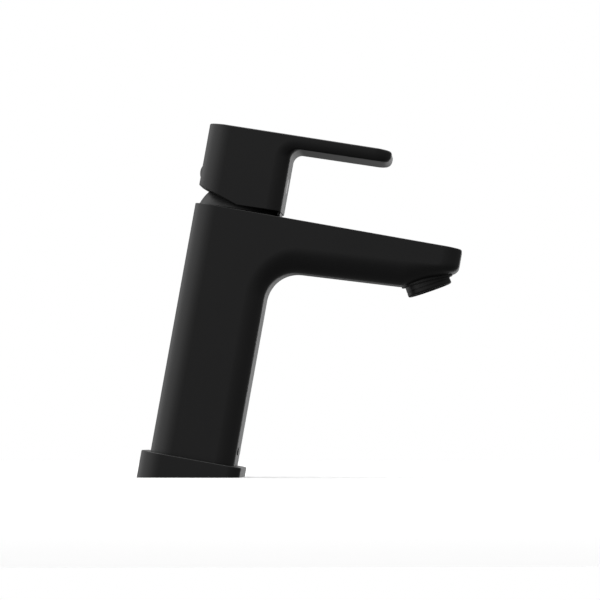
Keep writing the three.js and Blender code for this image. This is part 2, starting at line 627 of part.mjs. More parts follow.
function handle() {
  const domeSpace = new THREE.SphereGeometry(DOME_RADIUS + 0.45, FINE, COARSE)
    .translate(0, 0, PIVOT_HEIGHT);
  const socketWidth = SPINDLE_WIDTH + 2 * GAP;
  const socket = block(socketWidth, socketWidth, PIVOT_HEIGHT, SPINDLE_TOP + GAP);
  return cut(
    handleOutside(),
    join(hubHollow(), domeSpace, socket),
    lyingRod(SCREW_RADIUS + GAP, -HUB_BACK - 1, 0, SCREW_HEIGHT),
    lyingRod(PLUG_RADIUS + GAP, -HUB_BACK - 1, -HUB_BACK + HUB_WALL, SCREW_HEIGHT),
    lyingRod(MARK_RADIUS + GAP, HUB_FRONT - MARK_DEPTH, HUB_FRONT + 1, SCREW_HEIGHT),
  );
}

function grubScrew() {
  const [tail, tip] = [-HUB_BACK + HUB_WALL + 3, -SPINDLE_WIDTH / 2 - GAP];
  const keyRadius = SCREW_RADIUS - 0.9;
  const key = new THREE.CylinderGeometry(keyRadius, keyRadius, 5, 6).rotateZ(Math.PI / 2)
    .translate(tail, 0, SCREW_HEIGHT);
  return cut(lyingRod(SCREW_RADIUS, tail, tip, SCREW_HEIGHT), key);
}

function screwPlug() {
  const rim = 0.4;
  const crown = PLUG_PROUD - rim;
  const crownRadius = (PLUG_RADIUS ** 2 + crown ** 2) / (2 * crown);
  const centre = rim + crown - crownRadius;
  const dome = sphereArc(crownRadius, centre, rim, rim + crown, ARC);
  dome.at(-1)[0] = 0;
  return turned([[0, GAP - HUB_WALL], [PLUG_RADIUS, GAP - HUB_WALL], ...dome])
    .rotateY(-Math.PI / 2).translate(-HUB_BACK, 0, SCREW_HEIGHT);
}

function halfMark(side) {
  const disc = lyingRod(MARK_RADIUS, HUB_FRONT - MARK_THICKNESS, HUB_FRONT, SCREW_HEIGHT);
  const keep = new THREE.BoxGeometry(4 * MARK_RADIUS, 2 * MARK_RADIUS, 4 * MARK_RADIUS)
    .translate(HUB_FRONT, side * (MARK_RADIUS + GAP / 2), SCREW_HEIGHT);
  return common(disc, keep);
}

// ---------------------------------------------------------------- aerator

const RIM_ROUND = 0.8;
const INSERT_REST = 2;              // ledge above the insert, over the pivot
const CELL_ROWS = 3;
const CELL_WALL = 0.4;
const CELL_PITCH = (INSERT_RADIUS - 1.4) / CELL_ROWS;
const CELL_RADIUS = (CELL_PITCH - CELL_WALL) / 2;
const HONEYCOMB = { bottom: -3.4, top: -0.4 };
const SCREEN = { bottom: 0.2, top: 0.9 };
const WASHER = { width: 2.8, height: 1.2 };

function spoutCollar() {
  const seat = AERATOR_RADIUS + GAP;
  const outer = COLLAR_RADIUS - 5 * COLLAR_FIT;
  const flange = COLLAR_PROUD - GAP;
  return turned([
    [COLLAR_RADIUS, 0], [COLLAR_RADIUS, flange], [outer, flange], [outer, BALL_DEPTH],
    ...sphereArc(seat, 0, BALL_DEPTH, 0, ARC - 1),
  ], FINE);
}

function aeratorHousing() {
  const bore = INSERT_RADIUS + GAP;
  return turned([
    [bore, -AERATOR_LENGTH], [AERATOR_RADIUS - RIM_ROUND, -AERATOR_LENGTH],
    [AERATOR_RADIUS, RIM_ROUND - AERATOR_LENGTH],
    ...sphereArc(AERATOR_RADIUS, 0, 0, BALL_DEPTH, ARC - 1),
    [THROAT_RADIUS, BALL_DEPTH], [THROAT_RADIUS, INSERT_REST], [bore, INSERT_REST],
  ], FINE);
}

// Hexagonal grid of cell centres within a number of rings about the middle.
function cellCentres(rings) {
  const centres = [];
  for (let column = -rings; column <= rings; column += 1) {
    for (let row = -rings; row <= rings; row += 1) {
      if (Math.abs(column + row) <= rings) {
        centres.push([(column + row / 2) * CELL_PITCH, row * CELL_PITCH * Math.sin(Math.PI / 3)]);
      }
    }
  }
  return centres;
}

function perforated({ bottom, top }, rings) {
  const cells = cellCentres(rings).map(([x, y]) => (
    turned([[0, bottom - 1], [CELL_RADIUS, bottom - 1], [CELL_RADIUS, top + 1], [0, top + 1]], 6)
      .translate(x, y, 0)
  ));
  return cut(rod(INSERT_RADIUS, bottom, top, FINE), ...cells);
}

function aeratorWasher() {
  const bottom = BALL_DEPTH + GAP;
  return ring(THROAT_RADIUS - WASHER.width, THROAT_RADIUS, bottom, bottom + WASHER.height);
}

// ---------------------------------------------------------------- finishes

const BLACK = { color: 0x191919, roughness: 0.55, metalness: 0.1 };
const BRASS = { color: 0xb89a55, roughness: 0.35, metalness: 1 };
const RUBBER = { color: 0x1c1c1d, roughness: 0.85, metalness: 0 };
const CERAMIC = { color: 0xe8e4da, roughness: 0.2, metalness: 0 };
const STEEL = { color: 0xb4b7ba, roughness: 0.3, metalness: 1 };
const NYLON = { color: 0xd8d9d4, roughness: 0.5, metalness: 0 };
const GREY = { color: 0x55585b, roughness: 0.5, metalness: 0 };
const HOT = { color: 0x8e1b1b, roughness: 0.4, metalness: 0 };
const COLD = { color: 0x1b3f8e, roughness: 0.4, metalness: 0 };

function part(name, geometry, finish) {
  const mesh = new THREE.Mesh(toGeometry(toSolid(geometry)), new THREE.MeshStandardMaterial(finish));
  mesh.name = name;
  return mesh;
}

// ---------------------------------------------------------------- assembly

const faucet = new THREE.Group();
const leaning = new THREE.Group();
leaning.rotation.y = LEAN_ANGLE;
faucet.add(leaning);

leaning.add(
  part('body_casting', bodyCasting(), BLACK),
  part('front_badge', frontBadge(), BLACK),
  part('base_wedge', baseWedge(), BLACK),
  part('wedge_seal', wedgeSeal(), RUBBER),
  part('foot_block', footBlock(), BRASS),
  part('foot_o_ring', footRing(), RUBBER),
  part('cartridge_base', cartridgeBase(), NYLON),
  part('inlet_seal_hot', inletSeal(-1), RUBBER),
  part('inlet_seal_cold', inletSeal(1), RUBBER),
  part('fixed_disc', fixedDisc(), CERAMIC),
  part('moving_disc', movingDisc(), CERAMIC),
  part('disc_carrier', discCarrier(), NYLON),
  part('cartridge_housing', cartridgeHousing(), NYLON),
  part('cartridge_o_ring', cartridgeRing(), RUBBER),
  part('cartridge_nut', cartridgeNut(), BRASS),
  part('spindle_guide', spindleGuide(), GREY),
  part('pivot_pin', pivotPin(), STEEL),
  part('spindle', spindle(), BRASS),
  part('dome_cap', domeCap(), BLACK),
  part('handle', handle(), BLACK),
  part('grub_screw', grubScrew(), STEEL),
  part('screw_plug', screwPlug(), BLACK),
  part('hot_mark', halfMark(-1), HOT),
  part('cold_mark', halfMark(1), COLD),
);

const collarFrame = new THREE.Group();
collarFrame.position.set(PIVOT_X, 0, PIVOT_Z);
collarFrame.rotation.y = -FACET_ANGLE;
collarFrame.add(part('spout_collar', spoutCollar(), BLACK));

const aeratorFrame = new THREE.Group();
aeratorFrame.position.set(PIVOT_X, 0, PIVOT_Z);
aeratorFrame.rotation.y = THREE.MathUtils.degToRad(-AERATOR_TILT);
aeratorFrame.add(
  part('aerator_housing', aeratorHousing(), BLACK),
  part('aerator_honeycomb', perforated(HONEYCOMB, CELL_ROWS), GREY),
  part('aerator_screen', perforated(SCREEN, 1), STEEL),
  part('aerator_washer', aeratorWasher(), RUBBER),
);
leaning.add(collarFrame, aeratorFrame);

faucet.add(part('deck_gasket', gasketRing(0, GASKET.thickness), RUBBER));

export default faucet;
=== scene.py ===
"""Single-lever basin mixer in matt black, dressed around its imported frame.

Each sub-assembly is a class whose fields are its sizes in millimetres. They are drawn in the column's
own frame, which leans towards the outlet: x runs along the spout and z up the column's axis.
"""

import json
import logging
import math
from dataclasses import dataclass
from enum import Enum
from typing import Callable, Iterable, Sequence

import bmesh
import bpy
from mathutils import Matrix, Vector


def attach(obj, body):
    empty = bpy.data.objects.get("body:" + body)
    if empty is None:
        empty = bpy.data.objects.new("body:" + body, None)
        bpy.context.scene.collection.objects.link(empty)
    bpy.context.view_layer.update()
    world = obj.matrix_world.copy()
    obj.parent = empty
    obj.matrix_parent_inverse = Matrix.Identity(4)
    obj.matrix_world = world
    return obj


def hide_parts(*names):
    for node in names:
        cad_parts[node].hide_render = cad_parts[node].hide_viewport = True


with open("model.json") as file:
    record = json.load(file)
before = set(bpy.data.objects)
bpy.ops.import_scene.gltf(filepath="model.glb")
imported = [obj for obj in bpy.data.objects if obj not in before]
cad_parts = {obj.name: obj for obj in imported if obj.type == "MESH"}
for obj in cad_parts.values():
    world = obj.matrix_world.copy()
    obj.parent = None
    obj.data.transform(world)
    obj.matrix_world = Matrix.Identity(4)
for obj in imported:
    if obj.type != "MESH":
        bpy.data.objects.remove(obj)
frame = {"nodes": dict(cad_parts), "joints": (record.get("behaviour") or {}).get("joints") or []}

LOG = logging.getLogger("mixer")
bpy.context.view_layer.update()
MM = 0.001
MICROMETRE = 1e-6
WELD_DISTANCE = 1e-4
SLIVER_LENGTH = 1e-5

Pair = tuple[float, float]
Ring = list[tuple[float, float, float]]


# ---------------------------------------------------------------- places


def joint(name: str) -> dict:
    """Finds one of the frame's joints.

    Args:
        name: The joint's name.

    Returns:
        The joint's entry in the record.
    """
    return next(entry for entry in frame["joints"] if entry["name"] == name)


@dataclass(frozen=True)
class Place:
    """A frame turned about +Y, in which a sub-assembly is drawn in millimetres."""

    origin: tuple[float, float, float]
    turn: float

    def matrix(self) -> Matrix:
        """Gives the matrix from this frame's millimetres to the object's metres."""
        turn = Matrix.Rotation(self.turn, 4, "Y")
        return Matrix.Translation(Vector(self.origin)) @ turn @ Matrix.Scale(MM, 4)


AXIS = joint("temperature")["axis"]
LEAN = math.atan2(AXIS[0], AXIS[2])
COLUMN = Place((0.0, 0.0, 0.0), LEAN)
DECK = Place((0.0, 0.0, 0.0), 0.0)


# ---------------------------------------------------------------- mesh tools


def loft(name: str, rings: Sequence[Ring], place: Place, wrap: bool = False) -> bpy.types.Object:
    """Skins closed rings of points into a closed body.

    Args:
        name: The new object's name.
        rings: Rings with the same number of points each, in millimetres.
        place: The frame that the points are given in.
        wrap: Whether the last ring joins the first; otherwise both ends are capped.

    Returns:
        The new object, its place in its mesh.
    """
    mesh = bpy.data.meshes.new(name)
    build = bmesh.new()
    rows = [[build.verts.new(point) for point in ring] for ring in rings]
    size = len(rows[0])
    pairs = list(zip(rows, rows[1:]))
    if wrap:
        pairs.append((rows[-1], rows[0]))
    for low, high in pairs:
        for step in range(size):
            after = (step + 1) % size
            build.faces.new((low[step], low[after], high[after], high[step]))
    if not wrap:
        build.faces.new(rows[0])
        build.faces.new(rows[-1])
    bmesh.ops.remove_doubles(build, verts=build.verts, dist=WELD_DISTANCE)
    bmesh.ops.dissolve_degenerate(build, dist=SLIVER_LENGTH, edges=build.edges)
    bmesh.ops.recalc_face_normals(build, faces=build.faces)
    build.to_mesh(mesh)
    build.free()
    mesh.transform(place.matrix())
    piece = bpy.data.objects.new(name, mesh)
    bpy.context.scene.collection.objects.link(piece)
    return piece


def turned(name: str, profile: Sequence[Pair], place: Place, sides: int = 96) -> bpy.types.Object:
    """Turns a closed outline about the frame's z axis.

    Args:
        name: The new object's name.
        profile: The outline's (radius, z) points, in millimetres.
        place: The frame that the outline is given in.
        sides: Number of steps round the axis.

    Returns:
        The new object.
    """
    rings = []
    for step in range(sides):
        angle = math.tau * step / sides
        rings.append([(r * math.cos(angle), r * math.sin(angle), z) for r, z in profile])
    return loft(name, rings, place, wrap=True)


def lying(place: Place, height: float, forward: bool) -> Place:
    """Gives a frame whose z axis lies along the given frame's x axis.

    Args:
        place: The frame to lie down in.
        height: Height of the lying axis in that frame, in millimetres.
        forward: Whether the lying axis points along +x; otherwise along -x.

    Returns:
        The lying frame, on the other frame's axis.
    """
    origin = place.matrix() @ Vector((0.0, 0.0, height))
    return Place(tuple(origin), place.turn + (math.pi / 2 if forward else -math.pi / 2))


def disc(radius: float, low: float, high: float, chamfer: float = 0.0) -> list[Pair]:
    """Outlines a solid disc, its upper rim chamfered."""
    return [(0, low), (radius, low), (radius, high - chamfer), (radius - chamfer, high), (0, high)]


def band(inner: float, outer: float, low: float, high: float, ease: float = 0.0) -> list[Pair]:
    """Outlines a ring of rectangular section, its outer corners eased."""
    return [
        (inner, low), (outer - ease, low), (outer, low + ease),
        (outer, high - ease), (outer - ease, high), (inner, high),
    ]


def arc(radius: float, centre: Pair, start: float, end: float, steps: int) -> list[Pair]:
    """Gives points of an arc between two angles in radians."""
    angles = [start + (end - start) * step / steps for step in range(steps + 1)]
    return [(centre[0] + radius * math.cos(a), centre[1] + radius * math.sin(a)) for a in angles]


def eased(before: Pair, corner: Pair, after: Pair, reach: float, steps: int) -> list[Pair]:
    """Rounds an outline's corner with a smooth curve that starts and ends at a given reach.

    Args:
        before: Any point on the outline before the corner.
        corner: The sharp corner.
        after: Any point on the outline after it.
        reach: Distance from the corner to each end of the curve.
        steps: Number of segments.

    Returns:
        The curve's points, in order.
    """
    tip = Vector(corner)
    start = tip + (Vector(before) - tip).normalized() * reach
    end = tip + (Vector(after) - tip).normalized() * reach
    points = []
    for step in range(steps + 1):
        share = step / steps
        point = start.lerp(tip, share).lerp(tip.lerp(end, share), share)
        points.append((point.x, point.y))
    return points


def bent(centre: Pair, first: float, last: float, turn: float, steps: int) -> list[Pair]:
    """Follows an inner corner from its vertical side over the top, its radius changing evenly.

    Args:
        centre: The corner's centre.
        first: Radius at the vertical side.
        last: Radius at the other end.
        turn: Angle in radians that the corner turns through.
        steps: Number of segments.

    Returns:
        The corner's points, in order.
    """
    points = []
    for step in range(steps + 1):
        share = step / steps
        ease = share * share * (3 - 2 * share)
        radius, angle = first + (last - first) * ease, math.pi - turn * share
        points.append((centre[0] + radius * math.cos(angle), centre[1] + radius * math.sin(angle)))
    return points


def between(start: Pair, end: Pair, steps: int) -> list[Pair]:
    """Gives the points that divide a straight stretch, without its ends."""
    return [
        (start[0] + (end[0] - start[0]) * step / steps, start[1] + (end[1] - start[1]) * step / steps)
        for step in range(1, steps)
    ]


def inset(radius: float, off_middle: float, half: float) -> float:
    """Says how far a rounded edge has drawn in at a distance from the middle of its piece."""
    past = min(max(0.0, abs(off_middle) - (half - radius)), radius)
    return radius - math.sqrt(radius**2 - past**2)


def stations(half: float, radius: float, steps: int) -> list[float]:
    """Gives the distances from the middle at which a piece is sliced, closest where it rounds."""
    edge = [half - radius + radius * math.sin(math.pi / 2 * step / steps) for step in range(steps + 1)]
    return [-y for y in reversed(edge)] + edge


def plan_outline(
    along: Pair, across: Pair, back_round: float, front_round: float, steps: int
) -> list[Pair]:
    """Outlines a rectangle whose corners are rounded.

    Args:
        along: Its two ends in the first direction.
        across: Its two ends in the second direction.
        back_round: Corner radius at the first end.
        front_round: Corner radius at the second end.
        steps: Segments in each corner.

    Returns:
        The outline's points, anticlockwise.
    """
    corners = (
        (along[0], across[0], back_round, math.pi), (along[1], across[0], front_round, 1.5 * math.pi),
        (along[1], across[1], front_round, 0.0), (along[0], across[1], back_round, math.pi / 2),
    )
    points = []
    for x, y, radius, start in corners:
        centre_x = x + radius if x == along[0] else x - radius
        centre_y = y + radius if y == across[0] else y - radius
        points += arc(radius, (centre_x, centre_y), start, start + math.pi / 2, steps)
    return points


def sliced(
    name: str, contour: Callable[[float], list[Pair]], across: Iterable[float], place: Place
) -> bpy.types.Object:
    """Builds a body from its side contour, which changes with the distance from its middle plane."""
    rings = [[(x, y, z) for x, z in contour(y)] for y in across]
    return loft(name, rings, place)


def plain_mesh(piece: bpy.types.Object) -> bpy.types.Object:
    """Applies a piece's modifiers and takes them off.

    Args:
        piece: The piece with its modifiers.

    Returns:
        The same piece with a plain mesh.
    """
    graph = bpy.context.evaluated_depsgraph_get()
    graph.update()
    result = bpy.data.meshes.new_from_object(
        piece.evaluated_get(graph), preserve_all_data_layers=True, depsgraph=graph
    )
    piece.modifiers.clear()
    piece.data = result
    return piece


def carve(piece: bpy.types.Object, cutters: Iterable[bpy.types.Object]) -> bpy.types.Object:
    """Cuts other bodies out of a piece and removes them.

    Args:
        piece: The closed piece to cut.
        cutters: Closed bodies, each used once.

    Returns:
        The piece with a plain mesh.
    """
    used = list(cutters)
    for cutter in used:
        step = piece.modifiers.new(cutter.name, "BOOLEAN")
        step.operation = "DIFFERENCE"
        step.solver = "MANIFOLD"
        step.object = cutter
    plain_mesh(piece)
    for cutter in used:
        bpy.data.objects.remove(cutter)
    return piece


def smooth(piece: bpy.types.Object, sharp_above: float = 28.0) -> bpy.types.Object:
    """Shades a piece smooth between its sharp edges, with flat faces kept flat.

    Args:
        piece: The piece, without modifiers.
        sharp_above: Angle in degrees above which an edge stays sharp.

    Returns:
        The same piece.
    """
    build = bmesh.new()
    build.from_mesh(piece.data)
    limit = math.radians(sharp_above)
    for face in build.faces:
        face.smooth = True
    for edge in build.edges:
        edge.smooth = len(edge.link_faces) == 2 and edge.calc_face_angle() < limit
    build.to_mesh(piece.data)
    build.free()
    step = piece.modifiers.new("even_normals", "WEIGHTED_NORMAL")
    step.keep_sharp = True
    return plain_mesh(piece)


# ---------------------------------------------------------------- finishes


@dataclass(frozen=True)
class Finish:
    """How one material of the mixer looks.

    Grain and blotches are given by their size in millimetres, the grain's height in micrometres.
    """

    slot: str
    colour: tuple[float, float, float]
    roughness: float
    metallic: float = 0.0
    specular: float = 0.5
    coat: float = 0.0
    grain: float = 0.25
    grain_height: float = 4.0
    blotch: float = 30.0
    tone_spread: float = 0.08
    roughness_spread: float = 0.04


GRAIN_GLOSS = 0.08
COAT_ROUGHNESS = 0.1


class Look(Enum):
    """The mixer's finishes by the place that they are used."""

    BODY = Finish("black_body", (0.0215, 0.0215, 0.0220), 0.36, specular=0.42)
    LEVER = Finish("black_lever", (0.0215, 0.0215, 0.0220), 0.36, specular=0.42)
    BADGE = Finish("black_badge", (0.0230, 0.0230, 0.0235), 0.30, specular=0.5)
    PLUG = Finish("black_plug", (0.0215, 0.0215, 0.0215), 0.42)
    SPRAY = Finish("black_plastic", (0.0160, 0.0160, 0.0165), 0.36, grain=0.4, grain_height=3)
    BRASS = Finish(
        "brass_foot", (0.56, 0.40, 0.16), 0.30, metallic=1.0, grain=0.12, grain_height=3,
        blotch=9, tone_spread=0.16, roughness_spread=0.10,
    )
    RUBBER = Finish("rubber_seal", (0.014, 0.014, 0.0145), 0.78, specular=0.3, grain=0.35)
    CERAMIC = Finish("ceramic", (0.78, 0.74, 0.66), 0.16, coat=0.2, grain_height=0.5)
    ACETAL = Finish("white_plastic", (0.62, 0.63, 0.60), 0.42, grain=0.5)
    GREY = Finish("grey_plastic", (0.030, 0.031, 0.034), 0.45, grain=0.5)
    STEEL = Finish(
        "steel", (0.56, 0.57, 0.58), 0.26, metallic=1.0, grain=0.1, grain_height=2,
        blotch=6, roughness_spread=0.08,
    )
    HOT = Finish("hot_red", (0.16, 0.006, 0.008), 0.30, coat=0.3, grain_height=1)
    COLD = Finish("cold_blue", (0.006, 0.022, 0.16), 0.30, coat=0.3, grain_height=1)


def add_node(tree: bpy.types.NodeTree, kind: str, **inputs: object) -> bpy.types.Node:
    """Adds a node and sets its inputs.

    Args:
        tree: The tree that gets the node.
        kind: The node's type.
        inputs: Values by the input's name, with underscores for spaces.

    Returns:
        The new node.
    """
    node = tree.nodes.new(kind)
    for key, value in inputs.items():
        node.inputs[key.replace("_", " ")].default_value = value
    return node


def scalar(tree: bpy.types.NodeTree, operation: str, *values: object) -> bpy.types.NodeSocket:
    """Adds a maths node.

    Args:
        tree: The tree that gets the node.
        operation: What the node works out.
        values: Its inputs in order, each a number or another node's socket.

    Returns:
        The node's output.
    """
    node = tree.nodes.new("ShaderNodeMath")
    node.operation = operation
    for socket, value in zip(node.inputs, values):
        if isinstance(value, bpy.types.NodeSocket):
            tree.links.new(value, socket)
        else:
            socket.default_value = value
    return node.outputs[0]


def surface_group() -> bpy.types.NodeTree:
    """Builds the shared effect: sprayed or moulded grain, with soft blotches of tone and gloss.

    Returns:
        A group that gives a colour, a roughness and a height that vary over the surface.
    """
    tree = bpy.data.node_groups.new("surface_grain", "ShaderNodeTree")
    face = tree.interface
    colour = face.new_socket("Colour", in_out="INPUT", socket_type="NodeSocketColor")
    colour.default_value = (0.01, 0.01, 0.01, 1)
    for name, value in (
        ("Roughness", 0.4), ("Grain Scale", 4000), ("Blotch Scale", 30),
        ("Tone Spread", 0.1), ("Roughness Spread", 0.05),
    ):
        face.new_socket(name, in_out="INPUT", socket_type="NodeSocketFloat").default_value = value
    face.new_socket("Colour", in_out="OUTPUT", socket_type="NodeSocketColor")
    face.new_socket("Roughness", in_out="OUTPUT", socket_type="NodeSocketFloat")
    face.new_socket("Height", in_out="OUTPUT", socket_type="NodeSocketFloat")

    given = tree.nodes.new("NodeGroupInput")
    result = tree.nodes.new("NodeGroupOutput")
    place = tree.nodes.new("ShaderNodeTexCoord").outputs["Object"]
    noises = {}
    for name, detail in (("Grain Scale", 2.0), ("Blotch Scale", 4.0)):
        noise = add_node(tree, "ShaderNodeTexNoise", Detail=detail, Roughness=0.55)
        tree.links.new(place, noise.inputs["Vector"])
        tree.links.new(given.outputs[name], noise.inputs["Scale"])
        noises[name] = noise.outputs["Fac"]
    blotch = scalar(tree, "MULTIPLY", scalar(tree, "SUBTRACT", noises["Blotch Scale"], 0.5), 2.0)
    tone = scalar(tree, "MULTIPLY_ADD", blotch, given.outputs["Tone Spread"], 1.0)
    shade = tree.nodes.new("ShaderNodeVectorMath")
    shade.operation = "SCALE"
    tree.links.new(given.outputs["Colour"], shade.inputs[0])
    tree.links.new(tone, shade.inputs["Scale"])
    tree.links.new(shade.outputs[0], result.inputs["Colour"])
    spread = scalar(tree, "MULTIPLY", blotch, given.outputs["Roughness Spread"])
    fine = scalar(tree, "MULTIPLY", scalar(tree, "SUBTRACT", noises["Grain Scale"], 0.5), GRAIN_GLOSS)
    gloss = scalar(tree, "ADD", scalar(tree, "ADD", given.outputs["Roughness"], spread), fine)
    tree.links.new(gloss, result.inputs["Roughness"])
    tree.links.new(noises["Grain Scale"], result.inputs["Height"])
    return tree


class Paintshop:
    """Makes each finish once and puts it on pieces and frame nodes."""

    def __init__(self) -> None:
        """Builds the shared group and an empty shelf of materials."""
        self.group = surface_group()
        self.made: dict[Look, bpy.types.Material] = {}

    def material(self, look: Look) -> bpy.types.Material:
        """Gives a finish's material, made on first use.

        Args:
            look: The finish wanted.

        Returns:
            Its material.
        """
        if look not in self.made:
            self.made[look] = self._make(look.value)
        return self.made[look]

    def _make(self, finish: Finish) -> bpy.types.Material:
        """Builds the nodes of one finish.

        Args:
            finish: What the material has to look like.

        Returns:
            The new material.
        """
        material = bpy.data.materials.new(finish.slot)
        material.use_nodes = True
        tree = material.node_tree
        shader = tree.nodes["Principled BSDF"]
        group = tree.nodes.new("ShaderNodeGroup")
        group.node_tree = self.group
        for name, value in (
            ("Colour", (*finish.colour, 1.0)), ("Roughness", finish.roughness),
            ("Grain Scale", 1 / (finish.grain * MM)), ("Blotch Scale", 1 / (finish.blotch * MM)),
            ("Tone Spread", finish.tone_spread), ("Roughness Spread", finish.roughness_spread),
        ):
            group.inputs[name].default_value = value
        height = finish.grain_height * MICROMETRE
        bump = add_node(tree, "ShaderNodeBump", Strength=1.0, Distance=height)
        tree.links.new(group.outputs["Colour"], shader.inputs["Base Color"])
        tree.links.new(group.outputs["Roughness"], shader.inputs["Roughness"])
        tree.links.new(group.outputs["Height"], bump.inputs["Height"])
        tree.links.new(bump.outputs["Normal"], shader.inputs["Normal"])
        shader.inputs["Metallic"].default_value = finish.metallic
        shader.inputs["Specular IOR Level"].default_value = finish.specular
        shader.inputs["Coat Weight"].default_value = finish.coat
        shader.inputs["Coat Roughness"].default_value = COAT_ROUGHNESS
        return material

    def paint(self, piece: bpy.types.Object, look: Look) -> None:
        """Gives a piece or a frame node one finish."""
        piece.data.materials.clear()
        piece.data.materials.append(self.material(look))


SHOP = Paintshop()


def settle(piece: bpy.types.Object, look: Look, body: str, *nodes: str) -> bpy.types.Object:
    """Finishes a piece: paints it and puts it on its body.

    Args:
        piece: The finished piece.
        look: Its finish.
        body: The frame body that it moves with.
        nodes: The frame nodes that it stands for.

    Returns:
        The same piece.
    """
    SHOP.paint(piece, look)
    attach(piece, body)
    if nodes:
        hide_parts(*nodes)
    LOG.info("%s rides on %s, %d faces", piece.name, body, len(piece.data.polygons))
    return piece


# ---------------------------------------------------------------- body


@dataclass
class Casting:
    """The column and spout in one, with the spaces that its inner pieces sit in."""

    width: float = 45.0
    bottom: float = 10.06
    top: float = 143.0
    back_round: float = 12.3
    front_round: float = 10.0
    under_round: float = 13.0
    tip_round: float = 10.0
    reach: float = 120.4
    root_depth: float = 29.1
    underside_rise: float = 3.15
    facet_length: float = 30.6
    facet_rise: float = 24.4
    fillet: float = 17.0
    crease: float = 2.0
    tip_lower: float = 3.3
    tip_upper: float = 1.2
    top_ease: float = 0.45
    foot_radius: float = 18.8
    foot_top: float = 24.8
    chamber_radius: float = 18.0
    chamber_top: float = 99.2
    web: float = 3.0
    seat: float = 111.5
    bore: float = 18.0
    gallery: float = 19.8
    gallery_span: Pair = (2.0, 9.0)
    thread: float = 19.2
    thread_depth: float = 12.8
    passage: float = 3.4
    passage_back: float = 5.5
    passage_side: float = 7.5
    channel_end: float = 108.0
    outlet: float = 13.9
    outlet_depth: float = 11.5
    wall: float = 4.3
    badge_low: float = 16.05
    badge_high: float = 19.75
    badge_side: float = 7.0
    badge_corner: float = 1.1
    badge_gap: float = 0.2

    def __post_init__(self) -> None:
        """Works out the two lines of the spout's lower side."""
        self.half = self.width / 2
        self.slope = math.tan(math.radians(self.underside_rise))
        self.steep = math.tan(math.radians(self.facet_rise))
        self.kink = self.reach - self.facet_length * math.cos(math.radians(self.facet_rise))
        self.kink_height = self.under(self.kink)

    def under(self, x: float, off: float = 0.0) -> float:
        """Height of the underside's line at x, drawn in by an offset."""
        return self.top - self.root_depth + x * self.slope + off * math.hypot(1, self.slope)

    def facet(self, x: float) -> float:
        """Height of the slanted face's line at x."""
        return self.kink_height + (x - self.kink) * self.steep

    def contour(self, y: float) -> list[Pair]:
        """Outlines the casting at a distance from its middle plane.

        Args:
            y: Distance from the middle plane.

        Returns:
            The outline's points, anticlockwise from the back's lower corner.
        """
        back = -self.half + inset(self.back_round, y, self.half)
        off = inset(self.front_round, y, self.half)
        draw = inset(self.under_round, y, self.half)
        share = draw / self.under_round
        front = self.half - off
        tip = self.reach - inset(self.tip_round, y, self.half)
        top = self.top - inset(self.top_ease, y, self.half)
        centre_x = self.half + self.fillet
        centre = (centre_x, self.under(centre_x) - self.fillet * math.hypot(1, self.slope))
        bend = bent(
            centre, self.fillet + off, self.fillet + draw, math.pi / 2 - math.atan(self.slope), 20)
        kink = (self.kink, self.under(self.kink, draw))
        tip_flat, tip_side = self.facet(tip), self.under(tip, self.under_round)
        corner = (tip, tip_flat + share * (tip_side - tip_flat))
        upper = (tip, top)
        rear = (back, top)
        return [
            (back, self.bottom), (front, self.bottom),
            *between((front, self.bottom), bend[0], 12), *bend,
            *between(bend[-1], kink, 6), *eased(bend[-1], kink, corner, self.crease, 4),
            *between(kink, corner, 4), *eased(kink, corner, upper, self.tip_lower, 10),
            *eased(corner, upper, rear, self.tip_upper, 6),
            *between(upper, rear, 12), *eased(upper, rear, (back, self.bottom), self.top_ease, 4),
            *between(rear, (back, self.bottom), 12),
        ]

    def spaces(self, facet: Place) -> list[bpy.types.Object]:
        """Makes the bodies that are cut out of the casting.

        Args:
            facet: The aerator's frame on the slanted face.

        Returns:
            One closed body for each space.
        """
        low, high = (self.seat + step for step in self.gallery_span)
        made = [
            turned("foot_space", disc(self.foot_radius, 0, self.foot_top), COLUMN),
            turned("bore", disc(self.bore, self.seat, self.top + 1), COLUMN),
            turned("gallery", disc(self.gallery, low, high), COLUMN),
            turned("thread", disc(self.thread, self.top - self.thread_depth, self.top + 1), COLUMN),
            turned("aerator_space", disc(self.outlet, -2, self.outlet_depth), facet),
        ]
        for side in (-1, 1):
            made += [self._chamber(side), self._passage(side)]
        made.append(self._channel())
        return made

    def _passage(self, side: int) -> bpy.types.Object:
        """Makes the upright passage from one water chamber to the cartridge.

        Args:
            side: -1 or 1 for the chamber on that side of the web.

        Returns:
            The passage as a closed body.
        """
        passage = turned("passage", disc(self.passage, self.chamber_top - 2, self.seat + 1), COLUMN, 32)
        shift = Matrix.Translation((-self.passage_back, side * self.passage_side, 0))
        passage.data.transform(COLUMN.matrix() @ shift @ COLUMN.matrix().inverted())
        return passage

    def _chamber(self, side: int) -> bpy.types.Object:
        """Makes one of the two water chambers beside the web.

        Args:
            side: -1 or 1 for the side of the web that it lies on.

        Returns:
            The chamber as a closed body.
        """
        turn = math.asin(self.web / 2 / self.chamber_radius)
        outline = arc(self.chamber_radius, (0, 0), turn, math.pi - turn, 32)
        rings = [
            [(x, side * y, z) for x, y in outline] for z in (self.foot_top - 1, self.chamber_top)
        ]
        return loft("chamber", rings, COLUMN)

    def _channel(self) -> bpy.types.Object:
        """Makes the way for water along the spout.

        Returns:
            The channel as a closed body.
        """
        start, roof, end = self.bore - 3, self.top - self.wall, self.channel_end
        outline = [
            (start, self.under(start) + self.wall), (self.kink, self.kink_height + self.wall),
            (end, self.facet(end) + self.wall), (end, roof), (start, roof),
        ]
        side = self.half - self.wall - 1
        return loft("channel", [[(x, y, z) for x, z in outline] for y in (-side, side)], COLUMN)

